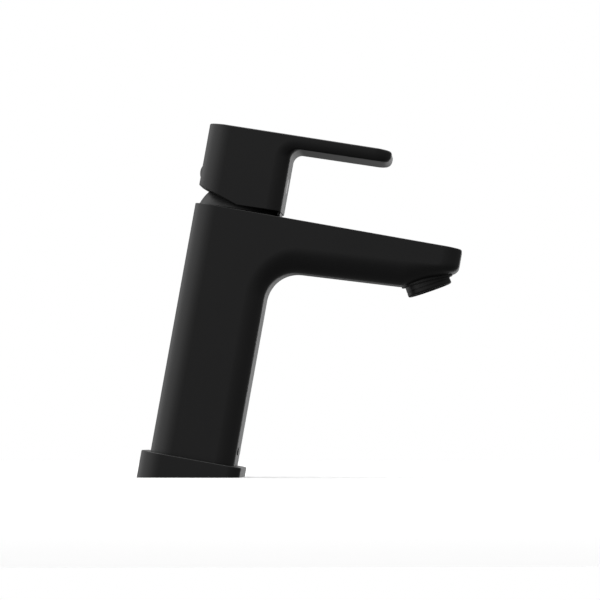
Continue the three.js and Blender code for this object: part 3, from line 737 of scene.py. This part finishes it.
    def build(self, facet: Place) -> None:
        """Builds the casting and its badge.

        Args:
            facet: The aerator's frame on the slanted face.
        """
        across = stations(self.half, self.back_round, 22)
        casting = sliced("mixer_body", self.contour, across, COLUMN)
        carve(casting, [*self.spaces(facet), self._badge_space()])
        settle(smooth(casting), Look.BODY, "tap_body", "body_casting")
        self._badge()

    def _badge_space(self) -> bpy.types.Object:
        """Makes the shallow recess that holds the badge.

        Returns:
            The recess as a closed body.
        """
        side = self.badge_side + self.badge_gap
        low, high = self.badge_low - self.badge_gap, self.badge_high + self.badge_gap
        rings = [
            [(x, -side, low), (x, side, low), (x, side, high), (x, -side, high)]
            for x in (self.half - 1, self.half + 2)
        ]
        return loft("badge_space", rings, COLUMN)

    def _badge(self) -> None:
        """Builds the blank badge, its face rounded off at the rim."""
        rings = []
        for depth, draw in ((-0.7, 0.0), (0.28, 0.0), (0.42, 0.09), (0.5, 0.28)):
            side, low, high = self.badge_side - draw, self.badge_low + draw, self.badge_high - draw
            outline = plan_outline((-side, side), (low, high), self.badge_corner, self.badge_corner, 6)
            rings.append([(self.half + depth, y, z) for y, z in outline])
        badge = loft("blank_badge", rings, COLUMN)
        settle(smooth(badge), Look.BADGE, "tap_body", "front_badge")


@dataclass
class Base:
    """The wedge under the column and its gasket, with the hole that the brass foot sits in."""

    width: float = 53.7
    top: float = 10.0
    back_round: float = 12.0
    front_round: float = 7.0
    chamfer: float = 0.6
    hole: float = 19.0
    seal: Pair = (19.3, 21.5)
    seal_depth: float = 1.6
    gasket: float = 47.6
    gasket_hole: float = 42.6
    gasket_depth: float = 1.5
    gap: float = 0.3

    def build(self) -> None:
        """Builds the wedge and the gasket."""
        self._wedge()
        gasket = self._gasket_ring("deck_ring", 0.0, 0.0, self.gasket_depth)
        settle(smooth(gasket), Look.RUBBER, "tap_body", "deck_gasket")

    def _outline(self, draw: float) -> list[Pair]:
        """Outlines the wedge, drawn in by a distance."""
        side = self.width / 2 - draw
        return plan_outline(
            (-side, side), (-side, side), self.back_round - draw, self.front_round - draw, 14)

    def _wedge(self) -> None:
        """Builds the wedge: level below, square to the column above."""
        rings = [[(x, y, x * math.tan(LEAN)) for x, y in self._outline(0.0)]]
        for step in range(5):
            angle = math.pi / 2 * step / 4
            draw = self.chamfer * (1 - math.cos(angle))
            height = self.top - self.chamfer * (1 - math.sin(angle))
            rings.append([(x, y, height) for x, y in self._outline(draw)])
        wedge = loft("base_plate", rings, COLUMN)
        hole = turned("hole", disc(self.hole, -2 * self.top, 2 * self.top), COLUMN)
        seal = turned("seal_space", band(*self.seal, self.top - self.seal_depth, self.top + 1), COLUMN)
        groove = self._gasket_ring("groove", self.gap, -1.0, self.gasket_depth + self.gap)
        carve(wedge, [hole, seal, groove])
        settle(smooth(wedge), Look.BODY, "tap_body", "base_wedge")

    def _gasket_ring(self, name: str, spread: float, low: float, high: float) -> bpy.types.Object:
        """Makes a flat ring in the shape of the gasket.

        Args:
            name: The new object's name.
            spread: How much wider it is on every side.
            low: Its lower face above the deck.
            high: Its upper face.

        Returns:
            The ring.
        """
        outer, inner = self.gasket / 2 + spread, self.gasket_hole / 2 - spread
        wide = plan_outline((-outer, outer), (-outer, outer), 9, 5, 10)
        narrow = plan_outline((-inner, inner), (-inner, inner), 9, 9, 10)
        rings = [
            [(x, y, low) for x, y in wide], [(x, y, high) for x, y in wide],
            [(x, y, high) for x, y in narrow], [(x, y, low) for x, y in narrow],
        ]
        return loft(name, rings, DECK, wrap=True)


# ---------------------------------------------------------------- lever


@dataclass
class Lever:
    """The handle: a square hub over the dome and a flat lever along the spout."""

    width: float = 45.0
    front: float = 23.1
    back: float = 22.3
    front_bottom: float = 145.9
    kink_bottom: float = 145.2
    back_bottom: float = 152.8
    back_top: float = 185.6
    tip_top: float = 187.4
    reach: float = 75.2
    root_thickness: float = 6.9
    tip_thickness: float = 6.5
    fillet: float = 5.5
    back_round: float = 12.3
    hub_round: float = 8.0
    edge_round: float = 2.6
    edge_depth: float = 5.7
    tip_round: float = 9.0
    top_ease: float = 0.7
    bottom_ease: float = 0.3
    tip_lower: float = 4.2
    tip_upper: float = 1.9
    rib_width: float = 22.0
    rib_thickness: float = 1.05
    rib_setback: float = 0.5
    rib_corner: float = 0.4
    rib_bottom: float = 143.4
    hub_wall: float = 3.8
    hub_ceiling: float = 5.0
    pivot: float = 136.6
    dome_space: float = 22.85
    socket: float = 8.6
    socket_top: float = 174.8
    screw_height: float = 160.7
    boss: float = 9.2
    screw_hole: float = 2.6
    screw_wall: float = 4.6
    plug_radius: float = 4.0
    plug_gap: float = 0.15
    mark_radius: float = 4.1
    mark_gap: float = 0.12
    mark_bed: float = 1.1

    def __post_init__(self) -> None:
        """Works out the line of the lever's underside."""
        self.half = self.width / 2
        root = self.top_at(self.front) - self.root_thickness
        tip = self.tip_top - self.tip_thickness
        self.under_slope = (tip - root) / (self.reach - self.front)
        self.under_root = root - self.front * self.under_slope

    def top_at(self, x: float) -> float:
        """Height of the handle's upper face at x."""
        share = (x + self.half) / (self.reach + self.half)
        return self.back_top + share * (self.tip_top - self.back_top)

    def bottom_at(self, x: float) -> float:
        """Height of the hub's lower face at x."""
        if x < 0:
            return self.kink_bottom - x / self.back * (self.back_bottom - self.kink_bottom)
        return self.kink_bottom + x / self.front * (self.front_bottom - self.kink_bottom)

    def under(self, x: float, off: float = 0.0) -> float:
        """Height of the lever's underside at x, drawn in by an offset."""
        return self.under_root + x * self.under_slope + off * math.hypot(1, self.under_slope)

    def contour(self, y: float) -> list[Pair]:
        """Outlines the handle at a distance from its middle plane.

        Args:
            y: Distance from the middle plane.

        Returns:
            The outline's points, anticlockwise from the back's lower corner.
        """
        back = -self.back + inset(self.back_round, y, self.half)
        hub = inset(self.hub_round, y, self.half)
        off = inset(self.edge_round, y, self.half) * self.edge_depth / self.edge_round
        front = self.front - hub
        tip = self.reach - inset(self.tip_round, y, self.half)
        ease = inset(self.top_ease, y, self.half)
        lift = inset(self.bottom_ease, y, self.half)
        centre_x = self.front + self.fillet
        centre_z = self.under(centre_x) - self.fillet * math.hypot(1, self.under_slope)
        bend = bent(
            (centre_x, centre_z), self.fillet + hub, self.fillet + off,
            math.pi / 2 - math.atan(self.under_slope), 14)
        corner = (tip, self.under(tip, off))
        upper = (tip, self.top_at(tip) - ease)
        rear = (back, self.top_at(back) - ease)
        room = upper[1] - corner[1]
        low = (back, self.bottom_at(back) + lift)
        near = (front, self.bottom_at(front) + lift)
        return [
            *eased(rear, low, (0, self.kink_bottom + lift), self.bottom_ease, 3),
            (0, self.kink_bottom + lift),
            *eased((0, self.kink_bottom), near, (front, self.back_top), self.bottom_ease, 3),
            *between((front, self.bottom_at(front) + 1), bend[0], 6), *bend,
            *between(bend[-1], corner, 8),
            *eased(bend[-1], corner, upper, min(self.tip_lower, 0.62 * room), 8),
            *eased(corner, upper, rear, min(self.tip_upper, 0.34 * room), 8),
            *between(upper, rear, 14), *eased(upper, rear, low, self.top_ease, 4),
            *between(rear, low, 6),
        ]

    def build(self) -> None:
        """Builds the handle, its rib, its screw plug and its two marks."""
        across = stations(self.half, self.back_round, 26)
        handle = sliced("lever_handle", self.contour, across, COLUMN)
        carve(handle, self._spaces())
        settle(smooth(handle), Look.LEVER, "lever", "handle")
        self._rib()
        self._plug()
        for side, name, look in ((-1, "hot_mark", Look.HOT), (1, "cold_mark", Look.COLD)):
            self._mark(side, name, look)

    def _spaces(self) -> list[bpy.types.Object]:
        """Makes the bodies that are cut out of the handle.

        Returns:
            One closed body for each space.
        """
        ball = arc(self.dome_space, (0, self.pivot), -math.pi / 2, math.pi / 2, 48)
        ball[0], ball[-1] = (0, ball[0][1]), (0, ball[-1][1])
        side, top = self.socket / 2, self.socket_top
        corners = [(-side, -side), (side, -side), (side, side), (-side, side)]
        socket = [[(x, y, z) for x, y in corners] for z in (self.pivot, top)]
        rear = lying(COLUMN, self.screw_height, forward=False)
        face = lying(COLUMN, self.screw_height, forward=True)
        plug = disc(self.plug_radius + self.plug_gap, self.back - self.hub_wall, self.back + 1)
        mark = disc(self.mark_radius + self.mark_gap, self.front - self.mark_bed, self.front + 1)
        return [
            turned("dome_space", ball, COLUMN),
            loft("socket", socket, COLUMN),
            turned("screw_hole", disc(self.screw_hole, 0, self.back), rear, 48),
            turned("plug_hole", plug, rear),
            turned("mark_hole", mark, face),
            self._hollow(),
        ]

    def _hollow(self) -> bpy.types.Object:
        """Makes the cored-out space of the hub, open at the bottom.

        Returns:
            The space as one closed body, without the boss and the wall round the grub screw.
        """
        side = self.half - self.hub_wall
        corner = self.back_round - self.hub_wall
        low, high = self.kink_bottom - 2, self.back_top - self.hub_ceiling
        rings = [
            [(x, y, z) for x, y in plan_outline((-side, side), (-side, side), corner, corner, 10)]
            for z in (low, high)
        ]
        hollow = loft("hollow", rings, COLUMN)
        boss = turned("boss", disc(self.boss, low - 1, high + 1), COLUMN, 64)
        half = self.screw_wall
        plan = ((-self.back, -half), (0, -half), (0, half), (-self.back, half))
        wall = loft("screw_wall", [[(x, y, z) for x, y in plan] for z in (low - 1, high + 1)], COLUMN)
        return carve(hollow, [boss, wall])

    def _rib(self) -> None:
        """Builds the rib behind the hub's front edge that closes the gap over the body."""
        face, side = self.front - self.rib_setback, self.rib_width / 2
        outline = plan_outline(
            (face - self.rib_thickness, face), (-side, side), self.rib_corner, self.rib_corner, 4)
        rings = [[(x, y, z) for x, y in outline] for z in (self.rib_bottom, self.front_bottom + 1)]
        settle(smooth(loft("hub_rib", rings, COLUMN)), Look.SPRAY, "lever")

    def _plug(self) -> None:
        """Builds the domed plug over the grub screw."""
        rim, proud, radius = 0.4, 1.7, self.plug_radius
        crown = proud - rim
        ball = (radius**2 + crown**2) / (2 * crown)
        dome = arc(ball, (0, self.back + proud - ball), math.asin((ball - crown) / ball), math.pi / 2, 12)
        dome[-1] = (0, self.back + proud)
        foot = self.back - self.hub_wall + 0.3
        profile = [(0, foot), (radius - 0.3, foot), (radius, foot + 0.3), *dome]
        plug = turned("rear_plug", profile, lying(COLUMN, self.screw_height, forward=False), 64)
        settle(smooth(plug), Look.PLUG, "lever", "screw_plug")

    def _mark(self, side: int, name: str, look: Look) -> None:
        """Builds one half of the flush two-colour mark.

        Args:
            side: -1 or 1 for the half on that side of the middle.
            name: The frame node that it stands for.
            look: Its finish.
        """
        radius, split = self.mark_radius, 0.04
        turn = math.asin(split / radius)
        outline = arc(radius, (0, 0), turn, math.pi - turn, 40)
        rings = []
        for depth, scale in ((-0.8, 1.0), (-0.06, 1.0), (0.0, 0.985)):
            rings.append([
                (self.front + depth, side * (split + (y - split) * scale), self.screw_height + x * scale)
                for x, y in outline
            ])
        mark = loft(f"{name}_enamel", rings, COLUMN)
        settle(smooth(mark), look, "lever", name)


# ---------------------------------------------------------------- dome and aerator


@dataclass
class Dome:
    """The smooth cap over the cartridge, under the hub."""

    radius: float = 22.4
    wall: float = 1.55
    mouth: float = 13.2
    centre: float = 136.6
    bottom: float = 143.3
    skirt: float = 18.9
    skirt_depth: float = 4.6
    mouth_ease: float = 0.02

    def build(self) -> None:
        """Builds the cap with a rounded mouth."""
        inner, low = self.radius - self.wall, self.bottom - self.skirt_depth
        start, inner_start = (
            math.asin((self.bottom - self.centre) / radius) for radius in (self.radius, inner))
        end, inner_end = (
            math.acos(self.mouth / radius) - self.mouth_ease for radius in (self.radius, inner))
        profile = [
            (self.skirt, low), (self.skirt, self.bottom),
            *arc(self.radius, (0, self.centre), start, end, 30),
            *arc(inner, (0, self.centre), inner_end, inner_start, 30),
            (self.skirt - self.wall, self.bottom - 0.4), (self.skirt - self.wall, low),
        ]
        dome = turned("dome", profile, COLUMN, 128)
        settle(smooth(dome), Look.BODY, "tap_body", "dome_cap")


@dataclass
class Aerator:
    """The outlet: a fixed collar and a head that tilts in it, with a honeycomb inside."""

    facet_rise: float = 24.4
    head_rise: float = 29.3
    radius: float = 12.0
    length: float = 4.6
    ball_depth: float = 7.0
    collar: float = 13.85
    collar_proud: float = 1.03
    gap: float = 0.3
    bore: float = 10.4
    throat: float = 8.3
    shoulder: float = 2.0
    lip: float = 0.9
    groove: Pair = (-2.3, -1.8)
    groove_depth: float = 0.18
    groove_ease: float = 0.15
    cells: float = 10.15
    cell_pitch: float = 1.9
    cell_wall: float = 0.32
    cell_depth: float = 3.0
    cell_middle: float = -1.9

    def __post_init__(self) -> None:
        """Places the two frames on the aerator's own pivot."""
        pivot = tuple(joint("aerator_tilt")["pos_m"])
        self.facet = Place(pivot, LEAN - math.radians(self.facet_rise))
        self.head = Place(pivot, LEAN - math.radians(self.head_rise))

    def build(self) -> None:
        """Builds the collar, the head and the honeycomb."""
        self._collar()
        self._head()
        self._honeycomb()

    def _collar(self) -> None:
        """Builds the fixed ring with its ball seat."""
        seat = self.radius + self.gap - 0.1
        flange = self.collar_proud - 0.12
        top = math.asin(self.ball_depth / seat)
        profile = [
            (seat + 0.5, 0.0), (self.collar - 0.3, 0.0), (self.collar, 0.3), (self.collar, flange),
            (self.collar - 0.25, flange), (self.collar - 0.25, self.ball_depth),
            *arc(seat, (0, 0), top, 0.05, 16),
        ]
        settle(smooth(turned("outlet_collar", profile, self.facet, 128)), Look.BODY,
               "tap_body", "spout_collar")

    def _head(self) -> None:
        """Builds the tilting head: a ball above, a short skirt with a rolled lip below."""
        top = math.asin(self.ball_depth / self.radius)
        low = -self.length
        lip = arc(self.lip, (self.radius - self.lip, low + self.lip), -math.pi / 2, 0.0, 6)
        under, over = self.groove
        bed = self.radius - self.groove_depth
        profile = [
            (self.bore, low + 0.5), (self.bore + 0.35, low), *lip,
            (self.radius, under), (bed, under + self.groove_ease), (bed, over - self.groove_ease),
            (self.radius, over), *arc(self.radius, (0, 0), 0.0, top, 16),
            (self.throat, self.ball_depth), (self.throat, self.shoulder), (self.bore, self.shoulder),
        ]
        settle(smooth(turned("outlet_head", profile, self.head, 128)), Look.SPRAY,
               "aerator", "aerator_housing")

    def _honeycomb(self) -> None:
        """Builds the honeycomb by Geometry Nodes and makes it a plain mesh."""
        piece = bpy.data.objects.new("outlet_honeycomb", bpy.data.meshes.new("outlet_honeycomb"))
        bpy.context.scene.collection.objects.link(piece)
        tree = honeycomb_tree()
        step = piece.modifiers.new("honeycomb", "NODES")
        step.node_group = tree
        sizes = {
            "Pitch": self.cell_pitch, "Wall": self.cell_wall, "Depth": self.cell_depth,
            "Rim": self.cells,
        }
        for item in tree.interface.items_tree:
            if item.in_out == "INPUT" and item.name in sizes:
                step[item.identifier] = sizes[item.name] * MM
            elif item.in_out == "INPUT" and item.name == "Material":
                step[item.identifier] = SHOP.material(Look.GREY)
        plain_mesh(piece)
        lift = Matrix.Translation((0, 0, self.cell_middle * MM))
        turn = Matrix.Rotation(self.head.turn, 4, "Y")
        piece.data.transform(Matrix.Translation(Vector(self.head.origin)) @ turn @ lift)
        settle(piece, Look.GREY, "aerator", "aerator_honeycomb")


def honeycomb_tree() -> bpy.types.NodeTree:
    """Builds the node tree of a round honeycomb, centred on z = 0.

    Returns:
        A tree with the inputs Pitch, Wall, Depth, Rim and Material.
    """
    tree = bpy.data.node_groups.new("honeycomb", "GeometryNodeTree")
    face = tree.interface
    for name in ("Pitch", "Wall", "Depth", "Rim"):
        face.new_socket(name, in_out="INPUT", socket_type="NodeSocketFloat").default_value = MM
    face.new_socket("Material", in_out="INPUT", socket_type="NodeSocketMaterial")
    face.new_socket("Geometry", in_out="OUTPUT", socket_type="NodeSocketGeometry")
    given = tree.nodes.new("NodeGroupInput").outputs
    link = tree.links.new
    count, edge_share, rim_walls = 15, 0.62, 4.0

    grid = tree.nodes.new("GeometryNodeMeshGrid")
    grid.inputs["Vertices X"].default_value = count
    grid.inputs["Vertices Y"].default_value = count
    row_pitch = scalar(tree, "MULTIPLY", given["Pitch"], math.sin(math.pi / 3))
    link(scalar(tree, "MULTIPLY", given["Pitch"], count - 1), grid.inputs["Size X"])
    link(scalar(tree, "MULTIPLY", row_pitch, count - 1), grid.inputs["Size Y"])

    place = tree.nodes.new("GeometryNodeInputPosition").outputs[0]
    split = tree.nodes.new("ShaderNodeSeparateXYZ")
    link(place, split.inputs[0])
    row = scalar(tree, "ROUND", scalar(tree, "DIVIDE", split.outputs["Y"], row_pitch))
    odd = scalar(tree, "FLOORED_MODULO", row, 2.0)
    shift = tree.nodes.new("ShaderNodeCombineXYZ")
    link(scalar(tree, "MULTIPLY", scalar(tree, "MULTIPLY", odd, given["Pitch"]), 0.5), shift.inputs["X"])
    stagger = tree.nodes.new("GeometryNodeSetPosition")
    link(grid.outputs["Mesh"], stagger.inputs["Geometry"])
    link(shift.outputs[0], stagger.inputs["Offset"])

    reach = tree.nodes.new("ShaderNodeVectorMath")
    reach.operation = "LENGTH"
    link(tree.nodes.new("GeometryNodeInputPosition").outputs[0], reach.inputs[0])
    limit = scalar(tree, "SUBTRACT", given["Rim"], scalar(tree, "MULTIPLY", given["Pitch"], edge_share))
    keep = scalar(tree, "LESS_THAN", reach.outputs["Value"], limit)
    points = tree.nodes.new("GeometryNodeMeshToPoints")
    link(stagger.outputs["Geometry"], points.inputs["Mesh"])
    link(keep, points.inputs["Selection"])

    half_pitch = scalar(tree, "MULTIPLY", given["Pitch"], 0.5)
    cell_radius = scalar(tree, "DIVIDE", half_pitch, math.cos(math.pi / 6))
    cell = hoop(tree, 6, cell_radius, given["Wall"], given["Depth"])
    spin = tree.nodes.new("GeometryNodeTransform")
    spin.inputs["Rotation"].default_value = (0.0, 0.0, math.pi / 6)
    link(cell, spin.inputs["Geometry"])
    copies = tree.nodes.new("GeometryNodeInstanceOnPoints")
    link(points.outputs[0], copies.inputs["Points"])
    link(spin.outputs[0], copies.inputs["Instance"])

    wide = scalar(tree, "MULTIPLY", given["Wall"], rim_walls)
    rim_radius = scalar(tree, "SUBTRACT", given["Rim"], scalar(tree, "MULTIPLY", wide, 0.5))
    rim = hoop(tree, 72, rim_radius, wide, given["Depth"])
    joined = tree.nodes.new("GeometryNodeJoinGeometry")
    link(copies.outputs[0], joined.inputs[0])
    link(rim, joined.inputs[0])
    real = tree.nodes.new("GeometryNodeRealizeInstances")
    link(joined.outputs[0], real.inputs[0])
    dress = tree.nodes.new("GeometryNodeSetMaterial")
    link(real.outputs[0], dress.inputs["Geometry"])
    link(given["Material"], dress.inputs["Material"])
    link(dress.outputs[0], tree.nodes.new("NodeGroupOutput").inputs[0])
    return tree


def hoop(
    tree: bpy.types.NodeTree, sides: int, radius: bpy.types.NodeSocket,
    wall: bpy.types.NodeSocket, depth: bpy.types.NodeSocket,
) -> bpy.types.NodeSocket:
    """Adds the nodes of a closed hoop of rectangular section.

    Args:
        tree: The node tree.
        sides: The hoop's number of sides.
        radius: Its middle radius.
        wall: Its wall's thickness.
        depth: Its height.

    Returns:
        The hoop's geometry.
    """
    path = tree.nodes.new("GeometryNodeCurvePrimitiveCircle")
    path.inputs["Resolution"].default_value = sides
    section = tree.nodes.new("GeometryNodeCurvePrimitiveQuadrilateral")
    sweep = tree.nodes.new("GeometryNodeCurveToMesh")
    tree.links.new(radius, path.inputs["Radius"])
    tree.links.new(wall, section.inputs["Width"])
    tree.links.new(depth, section.inputs["Height"])
    tree.links.new(path.outputs["Curve"], sweep.inputs["Curve"])
    tree.links.new(section.outputs["Curve"], sweep.inputs["Profile Curve"])
    return sweep.outputs["Mesh"]


# ---------------------------------------------------------------- inner pieces


class InnerPieces:
    """The frame nodes that keep their shape: what is inside the mixer."""

    looks: dict[Look, tuple[str, ...]] = {
        Look.BRASS: ("foot_block", "cartridge_nut", "spindle"),
        Look.RUBBER: (
            "wedge_seal", "foot_o_ring", "inlet_seal_hot", "inlet_seal_cold",
            "cartridge_o_ring", "aerator_washer",
        ),
        Look.CERAMIC: ("fixed_disc", "moving_disc"),
        Look.ACETAL: ("cartridge_base", "cartridge_housing", "disc_carrier"),
        Look.GREY: ("spindle_guide",),
        Look.STEEL: ("pivot_pin", "grub_screw", "aerator_screen"),
    }

    def dress(self) -> None:
        """Gives each kept node its finish."""
        for look, names in self.looks.items():
            for name in names:
                SHOP.paint(frame["nodes"][name], look)
                LOG.info("%s keeps its shape, finish %s", name, look.value.slot)


# ---------------------------------------------------------------- studio


@dataclass
class Studio:
    """Pale floor, soft light and the camera, in metres and degrees."""

    target: tuple[float, float, float] = (0.0579, 0.0, 0.0938)
    distance: float = 1.7
    azimuth: float = 2.9
    eye_height: float = 0.020
    view_width: float = 0.318
    sensor: float = 36.0
    floor_radius: float = 1.2
    floor_tone: float = 0.9
    floor_glow: float = 0.25
    lamp_size: float = 2.4
    lamp_watts: float = 24.0
    lamp_place: tuple[float, float, float] = (0.05, 0.25, 1.5)
    horizon: Pair = (-0.50, 0.08)
    glow_below: float = 0.088
    brightness_around: tuple[Pair, ...] = (
        (-180, 0.235), (-150, 0.39), (-120, 0.95), (-85, 1.45), (-55, 1.2), (-32, 0.30), (-10, 0.22),
        (-1, 0.25), (6, 2.3), (12, 2.1), (20, 0.20), (36, 0.07), (65, 0.16), (110, 0.18), (180, 0.235),
    )

    def build(self) -> None:
        """Sets the camera, the floor, the lights and the surroundings."""
        self._camera()
        self._floor()
        self._lights()
        self._world()
        bpy.context.scene.view_settings.view_transform = "Standard"

    def _camera(self) -> None:
        """Places the camera level with the deck, looking slightly up."""
        rise = math.asin((self.eye_height - self.target[2]) / self.distance)
        turn = math.radians(self.azimuth)
        level = math.cos(rise)
        back = Vector((math.sin(turn) * level, -math.cos(turn) * level, math.sin(rise)))
        lens = bpy.data.cameras.new("camera")
        lens.sensor_width = self.sensor
        lens.lens = self.sensor * self.distance / self.view_width
        lens.clip_start, lens.clip_end = 0.01, 50.0
        camera = bpy.data.objects.new("camera", lens)
        camera.location = Vector(self.target) + back * self.distance
        camera.rotation_euler = back.to_track_quat("Z", "Y").to_euler()
        bpy.context.scene.collection.objects.link(camera)
        bpy.context.scene.camera = camera

    def _floor(self) -> None:
        """Lays a pale floor at deck level that the lacquer doesn't mirror."""
        mesh = bpy.data.meshes.new("floor")
        build = bmesh.new()
        bmesh.ops.create_circle(build, cap_ends=True, segments=96, radius=self.floor_radius)
        build.to_mesh(mesh)
        build.free()
        floor = bpy.data.objects.new("floor", mesh)
        bpy.context.scene.collection.objects.link(floor)
        material = bpy.data.materials.new("pale_floor")
        material.use_nodes = True
        shader = material.node_tree.nodes["Principled BSDF"]
        shader.inputs["Base Color"].default_value = (*(self.floor_tone,) * 3, 1)
        shader.inputs["Roughness"].default_value = 0.9
        shader.inputs["Specular IOR Level"].default_value = 0.0
        shader.inputs["Emission Color"].default_value = (1, 1, 1, 1)
        shader.inputs["Emission Strength"].default_value = self.floor_glow
        floor.data.materials.append(material)
        floor.visible_glossy = False
        floor.visible_diffuse = False

    def _lights(self) -> None:
        """Hangs one large soft light overhead."""
        lamp = bpy.data.lights.new("overhead", "AREA")
        lamp.shape = "DISK"
        lamp.size = self.lamp_size
        lamp.energy = self.lamp_watts
        holder = bpy.data.objects.new("overhead", lamp)
        holder.location = self.lamp_place
        bpy.context.scene.collection.objects.link(holder)

    def _world(self) -> None:
        """Surrounds the mixer with white to look at and a darker room for it to mirror."""
        world = bpy.data.worlds.new("studio")
        bpy.context.scene.world = world
        world.use_nodes = True
        tree = world.node_tree
        tree.nodes.clear()
        link = tree.links.new
        room = tree.nodes.new("ShaderNodeBackground")
        link(self._room_light(tree), room.inputs["Color"])
        white = tree.nodes.new("ShaderNodeBackground")
        white.inputs["Color"].default_value = (1, 1, 1, 1)
        mixed = tree.nodes.new("ShaderNodeMixShader")
        link(tree.nodes.new("ShaderNodeLightPath").outputs["Is Camera Ray"], mixed.inputs["Fac"])
        link(room.outputs[0], mixed.inputs[1])
        link(white.outputs[0], mixed.inputs[2])
        link(mixed.outputs[0], tree.nodes.new("ShaderNodeOutputWorld").inputs["Surface"])

    def _room_light(self, tree: bpy.types.NodeTree) -> bpy.types.NodeSocket:
        """Adds the nodes of the room's light, which changes with the bearing and fades downwards.

        Args:
            tree: The world's node tree.

        Returns:
            The room's colour in each direction.
        """
        link = tree.links.new
        split = tree.nodes.new("ShaderNodeSeparateXYZ")
        link(tree.nodes.new("ShaderNodeTexCoord").outputs["Generated"], split.inputs[0])
        bearing = scalar(tree, "ARCTAN2", split.outputs["X"], split.outputs["Y"])
        share = scalar(tree, "MULTIPLY_ADD", bearing, 1 / math.tau, 0.5)
        around = tree.nodes.new("ShaderNodeValToRGB")
        around.color_ramp.interpolation = "B_SPLINE"
        link(share, around.inputs["Fac"])
        marks = around.color_ramp.elements
        while len(marks) < len(self.brightness_around):
            marks.new(0.5)
        for mark, (angle, brightness) in zip(marks, self.brightness_around):
            mark.position = angle / 360 + 0.5
            mark.color = (*(brightness,) * 3, 1)
        rise = tree.nodes.new("ShaderNodeMapRange")
        rise.interpolation_type = "SMOOTHSTEP"
        link(split.outputs["Z"], rise.inputs["Value"])
        rise.inputs["From Min"].default_value, rise.inputs["From Max"].default_value = self.horizon
        blend = tree.nodes.new("ShaderNodeMix")
        blend.data_type = "RGBA"
        inputs = {socket.identifier: socket for socket in blend.inputs}
        link(rise.outputs["Result"], inputs["Factor_Float"])
        inputs["A_Color"].default_value = (*(self.glow_below,) * 3, 1)
        link(around.outputs["Color"], inputs["B_Color"])
        return next(socket for socket in blend.outputs if socket.identifier == "Result_Color")


# ---------------------------------------------------------------- assembly


def main() -> None:
    """Builds the mixer's sub-assemblies in order and sets the studio up."""
    logging.basicConfig(level=logging.INFO, format="%(name)s: %(message)s")
    Studio().build()
    aerator = Aerator()
    Casting().build(aerator.facet)
    Base().build()
    Dome().build()
    Lever().build()
    aerator.build()
    InnerPieces().dress()


if __name__ == "__main__":
    main()
